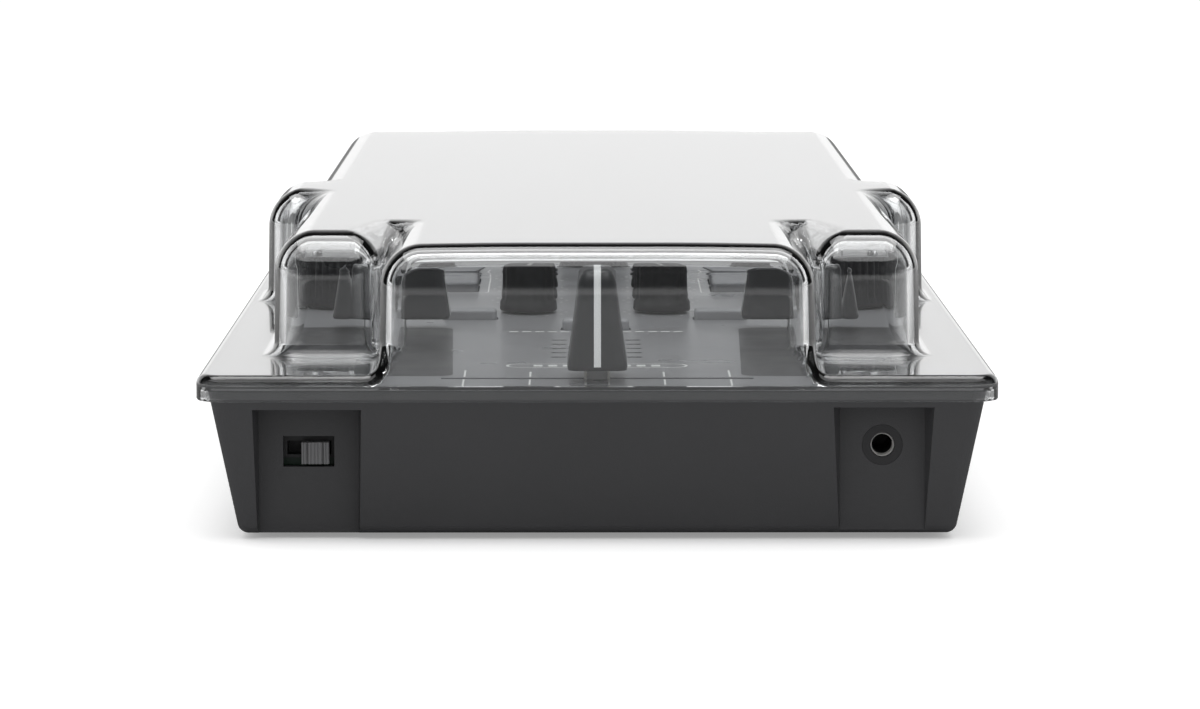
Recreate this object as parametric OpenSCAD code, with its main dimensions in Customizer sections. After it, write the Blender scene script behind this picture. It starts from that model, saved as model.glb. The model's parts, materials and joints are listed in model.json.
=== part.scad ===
// Portable two-channel DJ mixer with a clear lift-off dust cover.
// Origin: middle of the footprint, on the surface that the feet stand on.
// +Z is up, -Y is the crossfader end that faces the user, +X is to the user's right.

/* [Case] */
// Width of the case across its rim
case_w = 133.4; // [132:0.2:150]
// Length of the case from front rim to rear rim
case_l = 300; // [296:1:330]
// Height of the case from its underside to its rim
case_h = 26.1; // [23.5:0.1:28]
// Thickness of the case walls and floor
case_wall = 2.2; // [1.8:0.1:2.6]
// Lean of the case walls from upright, in degrees
case_lean = 11; // [10:0.1:13]
// Corner radius of the rim, seen from above
case_corner_r = 3; // [2:0.5:5]
// Rounding of the bottom edges
case_edge_r = 2; // [1:0.5:3]
// Width of the case rim that shows around the top panel
rim_w = 1.7; // [1.5:0.1:1.9]
// Gap between the rim and the top panel
panel_gap = 0.2; // [0.1:0.05:0.4]
// Thickness of the metal top panel
panel_t = 1.5; // [1:0.1:2]

/* [Feet] */
// Height of the rubber feet below the case
foot_h = 1; // [0.8:0.1:2]
// Radius of a rubber foot
foot_r = 5; // [4:0.5:6]
// Depth of the pocket that a foot is glued into
foot_pocket = 0.6; // [0.4:0.1:0.8]
// Distance from the case side to a foot's centre
foot_inset_x = 22; // [21:0.5:24]
// Distance from the case end to a foot's centre
foot_inset_y = 20; // [18:0.5:24]

/* [Front bays] */
// Distance from the case side to the middle of the left bay
left_bay_inset = 17.1; // [17:0.1:20]
// Width of the left bay at its upright wall
left_bay_w = 17.2; // [16:0.2:20]
// How much wider the left bay is on each side at the rim's front
left_bay_flare = 0.8; // [0:0.1:1.6]
// Depth of the left bay's upright wall behind the rim
left_bay_d = 6.7; // [6.2:0.1:7.5]
// Strip of case left above the left bay
left_bay_top = 4.1; // [3.5:0.1:6]
// Distance from the case side to the middle of the right bay
right_bay_inset = 17.8; // [17:0.1:20]
// Width of the right bay at its upright wall
right_bay_w = 14.6; // [14:0.2:18]
// How much wider the right bay is on each side at the rim's front
right_bay_flare = 1.5; // [0:0.1:1.6]
// Depth of the right bay's upright wall behind the rim
right_bay_d = 5.2; // [4.8:0.1:6.5]
// Strip of case left above the right bay
right_bay_top = 3.7; // [3.5:0.1:6]
// Thickness of the upright wall at the back of a bay
bay_wall = 2; // [1.6:0.1:2.5]

/* [Rear bay] */
// Width of the bay that the rear sockets stand in
rear_bay_w = 96; // [92:1:100]
// Depth of the rear bay's upright wall behind the rim
rear_bay_d = 6.7; // [6.2:0.1:7.5]

/* [Circuit board] */
// Height of the board's top face above the case underside
board_lift = 12.8; // [12:0.1:13]
// Thickness of the board
board_t = 1.6; // [1.2:0.1:2]
// Distance from the case side to the board's edge
board_inset_x = 8.7; // [8:0.1:10]
// Distance from the front rim to the board
board_inset_front = 9.4; // [9.2:0.1:10]
// Distance from the rear rim to the board
board_inset_rear = 22; // [20:0.5:24]
// Gap between the board and what passes through it
board_gap = 0.4; // [0.3:0.05:0.6]

/* [Headphone jack] */
// Radius of the jack's plug hole
jack_hole_r = 1.8; // [1.78:0.01:1.85]
// Depth of the plug hole
jack_hole_l = 14; // [13:0.5:15]
// Outer radius of the metal sleeve in the mouth
jack_sleeve_r = 2.1; // [2.05:0.05:2.3]
// Length of the metal sleeve
jack_sleeve_l = 3; // [2:0.5:4]
// Radius of the jack's nose, flush in the case wall
jack_nose_r = 3.45; // [3.2:0.05:3.6]
// Width, length and height of the jack's housing
jack_body = [12, 13, 6.2];
// Height of the jack's axis above the board
jack_axis_h = 2.6; // [2.6:0.1:3]

/* [Phones mode switch] */
// Width of the switch window
switch_window_w = 8.8; // [8.4:0.1:9.6]
// Height of the switch window
switch_window_h = 5.3; // [5:0.1:5.6]
// Height of the window's middle above the board
switch_axis_h = 1.3; // [1.2:0.1:1.5]
// Width of the switch's ribbed knob
switch_knob_w = 4.75; // [4.4:0.05:5]
// Height of the knob
switch_knob_h = 3.75; // [3.4:0.05:4]
// Gap between the knob and the window at each end of its travel
switch_end_gap = 0.9; // [0.6:0.1:1.2]
// Gap below the knob
switch_low_gap = 0.5; // [0.3:0.1:0.7]
// How far the knob stands out of the bay wall
switch_knob_proud = 0.5; // [0.3:0.1:1]
// Height and length of the switch body behind the wall
switch_body = [10, 5, 4.2];

/* [Sliding faders] */
// Travel of each fader
fader_travel = 45; // [40:0.5:45]
// Length of a fader track under the panel
fader_track_l = 60; // [60:0.5:62]
// Width of a fader track
fader_track_w = 9; // [8.6:0.1:9.4]
// Length of the slots in the panel
fader_slot_l = 54; // [53:0.5:56]
// Width of the slots in the panel
fader_slot_w = 2; // [1.8:0.1:2.4]
// Size of a fader lever along its travel
lever_w = 4; // [3.4:0.1:4.4]
// Thickness of a fader lever
lever_t = 1.2; // [1:0.1:1.4]
// Length of the slider block that the lever stands on
slider_l = 8; // [7:0.5:8.5]
// Gap between a lever, slider or cap and what holds it
fader_fit = 0.3; // [0.2:0.05:0.4]
// Gap between a cap's socket and its lever
socket_fit = 0.05; // [0.03:0.01:0.1]
// Distance from the front rim to the crossfader slot
crossfader_y = 12.5; // [12:0.1:14]
// Distance from the case side to a line fader
line_fader_side = 28.2; // [26.7:0.1:28.7]
// Distance from the front rim to the middle of a line fader's travel
line_fader_y = 69.7; // [66:0.1:72]
// Gap between the panel and a fader cap
cap_lift = 2.3; // [1.5:0.1:2.6]
// Size of a fader cap along its travel, at the foot and at the top
cap_foot_w = 10.6; // [10:0.1:11]
// Size of a fader cap along its travel, at the top
cap_top_w = 6.8; // [6:0.1:7.5]
// Length of a line fader cap across its travel
cap_l = 22.2; // [20:0.1:22.4]
// Length of the crossfader cap across its travel
crossfader_cap_l = 18.6; // [17:0.1:19]
// Height of the crossfader cap
crossfader_cap_h = 17; // [15:0.1:17.4]
// Height of a line fader cap
line_cap_h = 10.3; // [9:0.1:12]

/* [Knobs] */
// Radius of a channel knob
knob_r = 5.6; // [5:0.1:6]
// Height of a channel knob
knob_h = 12; // [10:0.5:14]
// Room between the channel knobs and the pads beside them
knob_to_pad = 5.1; // [4:0.1:6]
// Distance from the front rim to the first channel knobs
knob_y = 122; // [120:0.5:124]
// Spacing of the channel knobs
knob_pitch = 20; // [18:0.5:21]
// Distance from the rear rim to the row of output knobs
output_knob_y = 38; // [36:0.5:41]
// Distance from the case side to the outer output knobs
output_knob_side = 30.7; // [28.7:0.1:36]
// Radius of a knob's spindle
spindle_r = 3; // [2.5:0.1:3.2]
// Gap between a knob and the panel
knob_gap = 0.4; // [0.3:0.1:0.6]
// Gap between a spindle and its bushing
spindle_fit = 0.06; // [0.04:0.01:0.1]
// Wall of a spindle's bushing
bushing_wall = 0.9; // [0.8:0.1:1.2]
// Height of a potentiometer body above the board
pot_h = 6.5; // [6:0.1:7]

/* [Encoders] */
// Radius of a deck encoder
deck_encoder_r = 10; // [9:0.25:10.5]
// Height of a deck encoder
deck_encoder_h = 13; // [10:0.5:14]
// Distance from the case side to a deck encoder's centre
deck_encoder_inset = 17.7; // [17.2:0.1:18.2]
// Distance from the front rim to the deck encoders
deck_encoder_y = 134.2; // [133:0.1:136]
// Radius of the browse encoder
browse_r = 8; // [7:0.1:9]
// Height of the browse encoder
browse_h = 13; // [10:0.5:14]
// Distance from the rear rim to the browse encoder
browse_y = 70; // [68:0.5:72]
// Travel of the browse encoder when it is pushed
browse_push = 0.6; // [0.4:0.1:0.8]

/* [Keys] */
// Travel of a key
key_travel = 0.8; // [0.5:0.1:1]
// Height of a key above the panel
key_h = 2; // [1.5:0.1:3]
// Gap between a key and the panel around it
key_gap = 0.3; // [0.2:0.05:0.4]
// Width of the flange that keeps a key below the panel
key_flange = 0.8; // [0.6:0.1:1]
// Thickness of the flange
key_flange_t = 1; // [0.8:0.1:1.2]
// Radius of the stem under a key
key_stem_r = 1.5; // [1.2:0.1:1.6]
// Size of a key switch on the board
key_switch_w = 6; // [5.5:0.1:6.5]
// Height of a key switch above the board
key_switch_h = 4; // [3.6:0.1:4.4]
// Distance from the case side to the outer column of pads
key_side = 23.2; // [22.8:0.1:24.2]
// Spacing of the pads
key_pitch = 14; // [13:0.1:14.5]
// Width and length of a pad
pad_size = [11.6, 11.6];
// Share of the free room between the deck encoders and the output knobs that lies
// in front of the pads
pad_lead = 0.3133; // [0.2:0.01:0.5]
// Length of the sync keys
sync_key_l = 7; // [6:0.5:8]
// Distance from the sync keys to the cue keys
cue_step = 14; // [13:0.5:15]
// Length of the cue keys
cue_key_l = 12; // [11:0.5:13]
// Distance from the cue keys to the play keys
play_step = 17; // [16:0.5:18]
// Length of the play keys
play_key_l = 14; // [13:0.5:15]
// Room between a load key and the play key beside it
play_to_load = 3.7; // [3:0.1:5]
// Width and length of the shift key
shift_key_size = [12.6, 5];
// Distance from the front rim to the shift key
shift_key_y = 92; // [90:0.5:94]
// Width and length of the phones keys
phones_key_size = [10, 5];
// Distance from the middle of the case to a phones key
phones_key_x = 24; // [22:0.5:25]
// Distance from the front rim to the phones keys
phones_key_y = 110.4; // [109:0.1:112]
// Width and length of the load keys
load_key_size = [9, 9];
// Room between the browse encoder and the load keys
load_room = 3; // [2.5:0.1:4]

/* [Level lamps] */
// Size of one lamp window across and along the panel
lamp = [2.4, 1];
// Distance from the middle of the case to a column of lamps
lamp_x = 6.8; // [6:0.1:8]
// Distance from the front rim to the first lamps
lamp_y = 44.7; // [44:0.1:48]
// Spacing of the lamps
lamp_pitch = 6.93; // [5:0.01:7]
// Number of lamps in a column
lamp_count = 5; // [3:1:6]
// Gap around a lamp window in the panel
lamp_fit = 0.05; // [0.03:0.01:0.1]

/* [Rear sockets] */
// Outer radius of an output socket's barrel
rca_r = 4.15; // [4.1:0.05:4.2]
// Length of the barrel outside the case
rca_l = 8; // [7.5:0.1:8]
// Radius of the centre contact hole
rca_hole_r = 1.65; // [1.6:0.05:1.7]
// Places of the output sockets from the middle of the case
rca_x = [24, 40];
// Height of the output sockets above the case underside
rca_h = 11; // [10.5:0.1:12]
// Place of the USB socket from the middle of the case
usb_x = -20; // [-30:0.5:-14]
// Width of the USB socket
usb_w = 8.9; // [8.8:0.05:9]
// Height of the USB socket
usb_h = 3.2; // [3.1:0.05:3.3]
// Length of the USB socket
usb_l = 7.5; // [7:0.1:9]

/* [Screws] */
// Radius of a case screw
screw_r = 1.45; // [1.2:0.05:1.45]
// Radius of a case screw's head
screw_head_r = 2.7; // [2.5:0.1:2.8]
// Height of a screw's head
screw_head_h = 2; // [1.6:0.1:2.2]
// Depth of the seat under a case screw's head
screw_seat = 4; // [3.5:0.1:5]
// Distance from the case side to a case screw
screw_inset_x = 12.2; // [12:0.1:13]
// Distance from the front rim to the front case screws
screw_front = 32.2; // [30:0.1:34]
// Distance from the front rim to the middle case screws
screw_middle = 166.2; // [164:0.5:170]
// Distance from the rear rim to the rear case screws
screw_rear = 14; // [13.5:0.1:15]
// Radius of the bosses that the case screws pass through
boss_r = 4; // [3.6:0.1:4.2]
// Length of the threaded spacers under the panel
spacer_l = 6; // [5:0.1:7]
// Radius of the threaded spacers
spacer_r = 3; // [2.6:0.1:3.4]
// Gap between a screw and its thread
thread_fit = 0.05; // [0.03:0.01:0.08]
// Radius of a board screw
board_screw_r = 0.95; // [0.9:0.01:1.1]
// Radius of a board screw's head
board_screw_head_r = 2; // [1.8:0.1:2.2]
// Distance from the middle of the case to the board screws
board_screw_x = 22; // [21.5:0.1:22.5]
// Distances from the front rim to the front board screws
board_screw_front = [30, 101];
// Distances from the rear rim to the rear board screws
board_screw_rear = [105, 38];
// Radius of the posts that carry the board
post_r = 2.6; // [2.2:0.1:3]

/* [Dust cover] */
// Thickness of the cover
cover_wall = 2; // [1.6:0.1:2.2]
// Thickness of the cover's hanging lip
lip_t = 1.6; // [1.4:0.1:2]
// Gap between the lip and the case
lip_gap = 0.2; // [0.15:0.05:0.4]
// How far the lip hangs below the case rim
lip_drop = 2.5; // [2:0.1:4]
// Height of the raised top above the case rim
cover_h = 24.3; // [23.6:0.1:28]
// Lean of the cover's walls from upright, in degrees
cover_lean = 1; // [0.5:0.1:2.5]
// Rounding of the cover's top edges
cover_edge_r = 5; // [4:0.1:5.5]
// Corner radius of the cover's walls, seen from above
cover_corner_r = 5.5; // [4.5:0.1:6]
// Half width of the tongue over the crossfader
tongue_x = 37.4; // [36:0.1:37.8]
// Room between the line fader caps and the foot of the raised top's side walls
plateau_room = 7.4; // [6.6:0.1:8.2]
// Distance from the lip's front to the shoulders beside the tongue
shoulder_y = 27; // [26:0.1:28]
// Inner edge of a shoulder, from the middle
shoulder_x = 38.8; // [38.4:0.1:40]
// Distance from the shoulders' front to the body of the raised top
crease_d = 5; // [4:0.5:8]
// Distance from the lip's rear to the raised top
plateau_rear = 6.6; // [6:0.1:8]
// Room between a deck encoder and the foot of the bump over it
bump_room = 5; // [4:0.1:5.5]
// Length of a bump
bump_l = 29; // [28:0.5:31]
// Rounding of the bumps' outer top edges
bump_edge_r = 6.5; // [6:0.5:9]

/* [Hidden] */
$fn = 64;
// Facets of the rounded corners of hulls
hull_fn = 32;
// Overlap that keeps cuts and joined solids clean
eps = 0.01;

// Heights
rim_z = foot_h + case_h;
panel_z = rim_z - panel_t;
floor_z = foot_h + case_wall;
board_top = foot_h + board_lift;
board_low = board_top - board_t;
jack_z = board_top + jack_axis_h;
switch_z = board_top + switch_axis_h;
spacer_z = panel_z - spacer_l;
cap_z = rim_z + cap_lift;
browse_z = rim_z + knob_gap + browse_push;
// Solid top of a knob above its spindle
knob_top = 3;
cover_top = rim_z + cover_h;
flange_z = rim_z + cover_wall;

// Places along the case
front_y = -case_l / 2;
rear_y = case_l / 2;
cover_over = lip_gap + lip_t;
cover_front = front_y - cover_over;
cover_rear = rear_y + cover_over;
left_bay_x = left_bay_inset - case_w / 2;
right_bay_x = case_w / 2 - right_bay_inset;
left_bay_y = front_y + left_bay_d;
right_bay_y = front_y + right_bay_d;
rear_bay_y = rear_y - rear_bay_d;
deck_encoder_x = case_w / 2 - deck_encoder_inset;
line_fader_x = case_w / 2 - line_fader_side;
output_knob_x = case_w / 2 - output_knob_side;
key_x = case_w / 2 - key_side - key_pitch;
knob_x = key_x - pad_size[0] / 2 - knob_to_pad - knob_r;
plateau_x = line_fader_x + cap_l / 2 + plateau_room;
bump_x = deck_encoder_x + deck_encoder_r + bump_room;
crossfader_at = [0, front_y + crossfader_y];
browse_at = [0, rear_y - browse_y];

// Both sides of the case
SIDES = [-1, 1];
SIDE_NAMES = ["left", "right"];
CORNERS = [[-1, -1], [1, -1], [1, 1], [-1, 1]];

// A rotating control is [name, [x, y]]
CHANNEL_KNOB_NAMES = ["filter", "low", "mid", "high"];
KNOBS = concat(
    [for (s = [0, 1], i = [0:3])
        [str(CHANNEL_KNOB_NAMES[i], "_knob_", SIDE_NAMES[s]),
         [SIDES[s] * knob_x, front_y + knob_y + i * knob_pitch]]],
    [["cue_mix_knob", [-output_knob_x, rear_y - output_knob_y]],
     ["master_knob", [0, rear_y - output_knob_y]],
     ["phones_knob", [output_knob_x, rear_y - output_knob_y]]]);
DECK_ENCODERS = [for (s = SIDES) [s * deck_encoder_x, front_y + deck_encoder_y]];

// A key is [name, [x, y], [width, length]]
wide_key = key_pitch + pad_size[0];
deck_key_x = key_x + key_pitch / 2;
encoder_end = deck_encoder_y + deck_encoder_r;
deck_keys_l = pad_size[1] / 2 + 2 * key_pitch + cue_step + play_step + play_key_l / 2;
free_room = case_l - output_knob_y - knob_r - encoder_end - deck_keys_l;
pad_y = encoder_end + pad_lead * free_room + pad_size[1] / 2;
sync_y = pad_y + 2 * key_pitch;
cue_y = sync_y + cue_step;
play_y = cue_y + play_step;
load_key_x = browse_r + load_room + load_key_size[0] / 2;
play_in = load_key_x + load_key_size[0] / 2 + play_to_load;
play_out = deck_key_x + wide_key / 2;
KEYS = concat(
    [["shift_key", [0, front_y + shift_key_y], shift_key_size]],
    [for (s = [0, 1]) each [
        [str("phones_key_", SIDE_NAMES[s]),
         [SIDES[s] * phones_key_x, front_y + phones_key_y], phones_key_size],
        [str("load_key_", SIDE_NAMES[s]),
         [SIDES[s] * load_key_x, rear_y - browse_y], load_key_size],
        [str("sync_key_", SIDE_NAMES[s]),
         [SIDES[s] * deck_key_x, front_y + sync_y], [wide_key, sync_key_l]],
        [str("cue_key_", SIDE_NAMES[s]),
         [SIDES[s] * deck_key_x, front_y + cue_y], [wide_key, cue_key_l]],
        [str("play_key_", SIDE_NAMES[s]),
         [SIDES[s] * (play_in + play_out) / 2, front_y + play_y], [play_out - play_in, play_key_l]]]],
    [for (s = [0, 1], i = [0:3])
        [str("pad_", i + 1, "_", SIDE_NAMES[s]),
         [SIDES[s] * (key_x + (i % 2) * key_pitch),
          front_y + pad_y + floor(i / 2) * key_pitch],
         pad_size]]);

// Screws
CASE_SCREWS = [for (s = SIDES, y = [front_y + screw_front, front_y + screw_middle,
                                    rear_y - screw_rear])
    [s * (case_w / 2 - screw_inset_x), y]];
BOARD_SCREWS = [for (s = SIDES) each [
    for (d = board_screw_front) [s * board_screw_x, front_y + d],
    for (d = board_screw_rear) [s * board_screw_x, rear_y - d]]];
FEET = [for (c = CORNERS) [c[0] * (case_w / 2 - foot_inset_x),
                           c[1] * (case_l / 2 - foot_inset_y)]];

// How far a case wall has leaned in at height z
function lean_in(z) = (rim_z - z) * tan(case_lean);

module at(places) {
    for (p = places) translate([p[0], p[1], 0]) children();
}

// Flat outline with round corners
module round_rect(w, l, r) {
    square([w - 2 * r, l], center = true);
    square([w, l - 2 * r], center = true);
    for (c = CORNERS) translate([c[0] * (w / 2 - r), c[1] * (l / 2 - r)]) circle(r);
}

// Upright plate with round corners, standing on z
module round_plate(w, l, r, z, t) {
    translate([0, 0, z]) linear_extrude(t) round_rect(w, l, r);
}

// Box centred in X and Y, standing on z
module block(w, l, z, h) {
    translate([-w / 2, -l / 2, z]) cube([w, l, h]);
}

// Upright hole or rod from z to z + h
module rod(r, z, h) {
    translate([0, 0, z]) cylinder(r = r, h = h);
}

// ---- Case ----

// Outer form of the case: upright rim edge, leaning walls, round bottom edges
module case_form() {
    low_z = foot_h + case_edge_r;
    side = lean_in(low_z) + case_edge_r / cos(case_lean);
    hull() for (c = CORNERS) {
        translate([c[0] * (case_w / 2 - case_corner_r),
                   c[1] * (case_l / 2 - case_corner_r), rim_z - 0.2])
            cylinder(r = case_corner_r, h = 0.2, $fn = hull_fn);
        translate([c[0] * (case_w / 2 - side), c[1] * (case_l / 2 - side), low_z])
            sphere(case_edge_r, $fn = hull_fn);
    }
}

// Hollow of the case, a wall's thickness inside its form
module case_hollow() {
    wall = case_wall / cos(case_lean);
    hull() for (z = [floor_z, panel_z]) {
        in = lean_in(z) + wall;
        translate([-(case_w / 2 - in), -(case_l / 2 - in), z])
            cube([case_w - 2 * in, case_l - 2 * in, eps]);
    }
}

// Recess for the hand or plugs, which widens from the upright wall at y to the outside.
// Side is -1 at the front and 1 at the rear.
module bay_cut(x, w, y, top, side, flare) {
    out = 2 * abs(side * case_l / 2 - y);
    wide = w / 2 + 2 * flare;
    translate([x, y, -eps]) linear_extrude(rim_z - top + eps)
        polygon([[-w / 2, 0], [-wide, side * out], [wide, side * out], [w / 2, 0]]);
}

// Material left standing behind a bay
module bay_backing(x, w, y, top, side, flare) {
    depth = 30;
    half = w / 2 + flare + bay_wall;
    translate([x - half, side < 0 ? y - depth : y - bay_wall, 0])
        cube([2 * half, depth + bay_wall, rim_z - top + bay_wall]);
}

// The three bays: middle, width, upright wall, strip above, side and flare
BAYS = [[left_bay_x, left_bay_w, left_bay_y, left_bay_top, -1, left_bay_flare],
        [right_bay_x, right_bay_w, right_bay_y, right_bay_top, -1, right_bay_flare],
        [0, rear_bay_w, rear_bay_y, left_bay_top, 1, 0]];

module bays(cut) {
    for (b = BAYS)
        if (cut) bay_cut(b[0], b[1], b[2], b[3], b[4], b[5]);
        else bay_backing(b[0], b[1], b[2], b[3], b[4], b[5]);
}

module bottom_case() color([0.15, 0.15, 0.16]) difference() {
    case_form();
    difference() {
        case_hollow();
        bays(false);
        at(CASE_SCREWS) rod(boss_r, 0, spacer_z);
        at(BOARD_SCREWS) rod(post_r, 0, board_low);
    }
    bays(true);
    // Seat of the top panel
    round_plate(case_w - 2 * rim_w, case_l - 2 * rim_w, case_corner_r - 1, panel_z,
                panel_t + 1);
    // Switch window, jack hole, socket holes
    translate([left_bay_x - switch_window_w / 2, left_bay_y - 1,
               switch_z - switch_window_h / 2])
        cube([switch_window_w, bay_wall + 2, switch_window_h]);
    translate([right_bay_x, right_bay_y - 1, jack_z]) rotate([-90, 0, 0])
        cylinder(r = jack_nose_r + 0.05, h = bay_wall + 2);
    for (x = rca_x) translate([x, rear_bay_y + 1, foot_h + rca_h])
        rotate([90, 0, 0]) cylinder(r = rca_r + 0.05, h = bay_wall + 2);
    usb_form(0.25, rear_bay_y - bay_wall - 1, bay_wall + 2);
    // Case screws, board screws and feet
    at(CASE_SCREWS) {
        rod(screw_r + 0.15, 0, spacer_z + 1);
        rod(screw_head_r + 0.2, 0, foot_h + screw_seat);
    }
    at(BOARD_SCREWS) rod(board_screw_r + thread_fit, floor_z, board_low);
    at(FEET) rod(foot_r + 0.1, 0, foot_h + foot_pocket);
}

module rubber_feet() color([0.09, 0.09, 0.09]) at(FEET)
    rod(foot_r, 0, foot_h + foot_pocket);

// ---- Top panel ----

module key_outline(key, grow) {
    translate(key[1]) round_rect(key[2][0] + 2 * grow, key[2][1] + 2 * grow, 1 + grow);
}

module lamp_places() {
    for (s = SIDES, i = [0:lamp_count - 1])
        translate([s * lamp_x, front_y + lamp_y + i * lamp_pitch]) children();
}

module panel_outline() {
    difference() {
        round_rect(case_w - 2 * (rim_w + panel_gap), case_l - 2 * (rim_w + panel_gap),
                   case_corner_r - 1 - panel_gap);
        translate(crossfader_at) square([fader_slot_l, fader_slot_w], center = true);
        for (s = SIDES) translate([s * line_fader_x, front_y + line_fader_y])
            square([fader_slot_w, fader_slot_l], center = true);
        for (k = KEYS) key_outline(k, key_gap);
        for (k = KNOBS) translate(k[1]) circle(spindle_r + fader_fit);
        for (p = concat(DECK_ENCODERS, [browse_at])) translate(p)
            circle(spindle_r + fader_fit);
        lamp_places() square([lamp[0] + 2 * lamp_fit, lamp[1] + 2 * lamp_fit],
                             center = true);
    }
}

module top_panel() color([0.52, 0.52, 0.54])
    translate([0, 0, panel_z]) linear_extrude(panel_t) panel_outline();

module panel_spacers() color([0.72, 0.72, 0.74]) at(CASE_SCREWS) difference() {
    rod(spacer_r, spacer_z, spacer_l);
    rod(screw_r + thread_fit, spacer_z - 1, spacer_l);
}

module level_lamps() color([0.85, 0.88, 0.9]) {
    bar_t = 1.2;
    lamp_places() block(lamp[0], lamp[1], panel_z - eps, panel_t + eps);
    translate([0, front_y + lamp_y + (lamp_count - 1) * lamp_pitch / 2, 0])
        block(2 * lamp_x + lamp[0] + 2, (lamp_count - 1) * lamp_pitch + lamp[1] + 2,
              panel_z - bar_t, bar_t);
}

// ---- Board and what it carries ----

module main_board() color([0.08, 0.3, 0.16]) {
    w = case_w - 2 * board_inset_x;
    tab_w = 16;
    translate([0, 0, board_low]) linear_extrude(board_t) difference() {
        union() {
            translate([-w / 2, front_y + board_inset_front])
                square([w, case_l - board_inset_front - board_inset_rear]);
            // Tab that reaches the USB socket in the rear wall
            translate([usb_x - tab_w / 2, 0])
                square([tab_w, rear_bay_y - bay_wall - board_gap]);
        }
        for (p = CASE_SCREWS) translate(p) circle(boss_r + board_gap);
        for (p = BOARD_SCREWS) translate(p) circle(board_screw_r + 0.2);
    }
}

// Track of a fader, with its travel along X
module fader_track() {
    h = panel_z - board_top;
    floor_t = 1;
    room_h = 5.5;
    room_l = fader_travel + slider_l + 2 * fader_fit + 0.4;
    difference() {
        block(fader_track_l, fader_track_w, board_top, h);
        block(room_l, slider_w() + 2 * fader_fit, board_top + floor_t, room_h);
        block(fader_travel + lever_w + 2, lever_t + 2 * fader_fit,
              board_top + floor_t, h);
    }
}

function slider_w() = fader_track_w - 3;

module fader_slider(top) {
    slider_z = board_top + 1 + fader_fit;
    slider_h = 5.5 - 2 * fader_fit;
    block(slider_l, slider_w(), slider_z, slider_h);
    block(lever_w, lever_t, slider_z, top - slider_z);
}

module at_line_fader(side, shift) {
    translate([side * line_fader_x, front_y + line_fader_y + shift, 0])
        rotate([0, 0, 90]) children();
}

module fader_tracks() color([0.62, 0.63, 0.65]) {
    at([crossfader_at]) fader_track();
    for (s = SIDES) at_line_fader(s, 0) fader_track();
}

// Height of a lever's top inside a cap of height h
function lever_top(h) = cap_z + h - 4;

module crossfader_slider() color([0.55, 0.56, 0.58])
    at([crossfader_at]) fader_slider(lever_top(crossfader_cap_h));

module line_fader_slider(side) color([0.55, 0.56, 0.58])
    at_line_fader(side, fader_travel / 2) fader_slider(lever_top(line_cap_h));

module line_fader_slider_left() line_fader_slider(-1);
module line_fader_slider_right() line_fader_slider(1);

// Fader cap with its travel along X: flared foot, leaning flanks, round shoulders
module fader_cap(h, l) {
    shoulder_r = 2.2;
    foot_t = 1;
    taper = (cap_foot_w - cap_top_w) / 2;
    difference() {
        hull() {
            translate([0, 0, cap_z]) linear_extrude(foot_t)
                round_rect(cap_foot_w, l, 1.2);
            for (c = CORNERS)
                translate([c[0] * (cap_top_w / 2 - shoulder_r),
                           c[1] * (l / 2 - taper / 2 - shoulder_r),
                           cap_z + h - shoulder_r])
                    sphere(shoulder_r, $fn = hull_fn);
        }
        // Socket for the lever
        block(lever_w + 2 * socket_fit, lever_t + 2 * socket_fit, cap_z - 1,
              lever_top(h) - cap_z + 1 + socket_fit);
    }
}

module crossfader_cap() color([0.13, 0.13, 0.14])
    at([crossfader_at]) fader_cap(crossfader_cap_h, crossfader_cap_l);

module line_fader_cap(side) color([0.13, 0.13, 0.14])
    at_line_fader(side, fader_travel / 2) fader_cap(line_cap_h, cap_l);

module line_fader_cap_left() line_fader_cap(-1);
module line_fader_cap_right() line_fader_cap(1);

// ---- Rotating controls ----

// Body on the board with a bushing up to the panel and a hole for the spindle
module rotary_base(w, h) {
    difference() {
        union() {
            block(w, w, board_top, h);
            rod(spindle_r + spindle_fit + bushing_wall, board_top,
                panel_z - board_top);
        }
        rod(spindle_r + spindle_fit, board_top + 1, panel_z);
    }
}

module pot_bodies() color([0.3, 0.32, 0.34]) for (k = KNOBS)
    translate([k[1][0], k[1][1], 0]) rotary_base(10, pot_h);

module encoder_bodies() color([0.3, 0.32, 0.34])
    at(concat(DECK_ENCODERS, [browse_at])) rotary_base(12, pot_h);

// Spindle that turns in a base with low_gap below it
module spindle(top, low_gap) {
    z = board_top + 1 + low_gap;
    rod(spindle_r, z, top - z);
}

// Rod with a flat along it, as a spindle's end has
module flat_rod(r, z, h) {
    difference() {
        rod(r, z, h);
        translate([-r, r / 2, z - 1]) cube([2 * r, r, h + 2]);
    }
}

// Cap of a knob: skirt and fluted grip
module knob_cap(r, h, z, flutes) {
    skirt_h = 1.6;
    grip_r = r - 0.6;
    difference() {
        union() {
            rod(r, z, skirt_h);
            translate([0, 0, z]) linear_extrude(h) difference() {
                circle(grip_r);
                for (i = [0:flutes - 1]) rotate((i + 0.5) * 360 / flutes)
                    translate([grip_r + 0.15, 0]) circle(0.5);
            }
        }
        // Pointer groove
        translate([-0.4, r / 4, z + h - 0.4]) cube([0.8, r, 1]);
    }
}

// Knob and the flatted spindle that it is pushed onto
module knob(r, h, flutes) {
    z = rim_z + knob_gap;
    top = z + h - knob_top;
    difference() {
        knob_cap(r, h, z, flutes);
        flat_rod(spindle_r + socket_fit, z - 1, top - z + 1 + socket_fit);
    }
    spindle(rim_z, 0.2);
    flat_rod(spindle_r, rim_z - eps, top - rim_z + eps);
}

module turning_knob(index) color([0.13, 0.13, 0.14])
    translate([KNOBS[index][1][0], KNOBS[index][1][1], 0]) knob(knob_r, knob_h, 12);

module deck_encoder(index) color([0.2, 0.2, 0.22])
    translate([DECK_ENCODERS[index][0], DECK_ENCODERS[index][1], 0])
        knob(deck_encoder_r, deck_encoder_h, 24);

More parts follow.
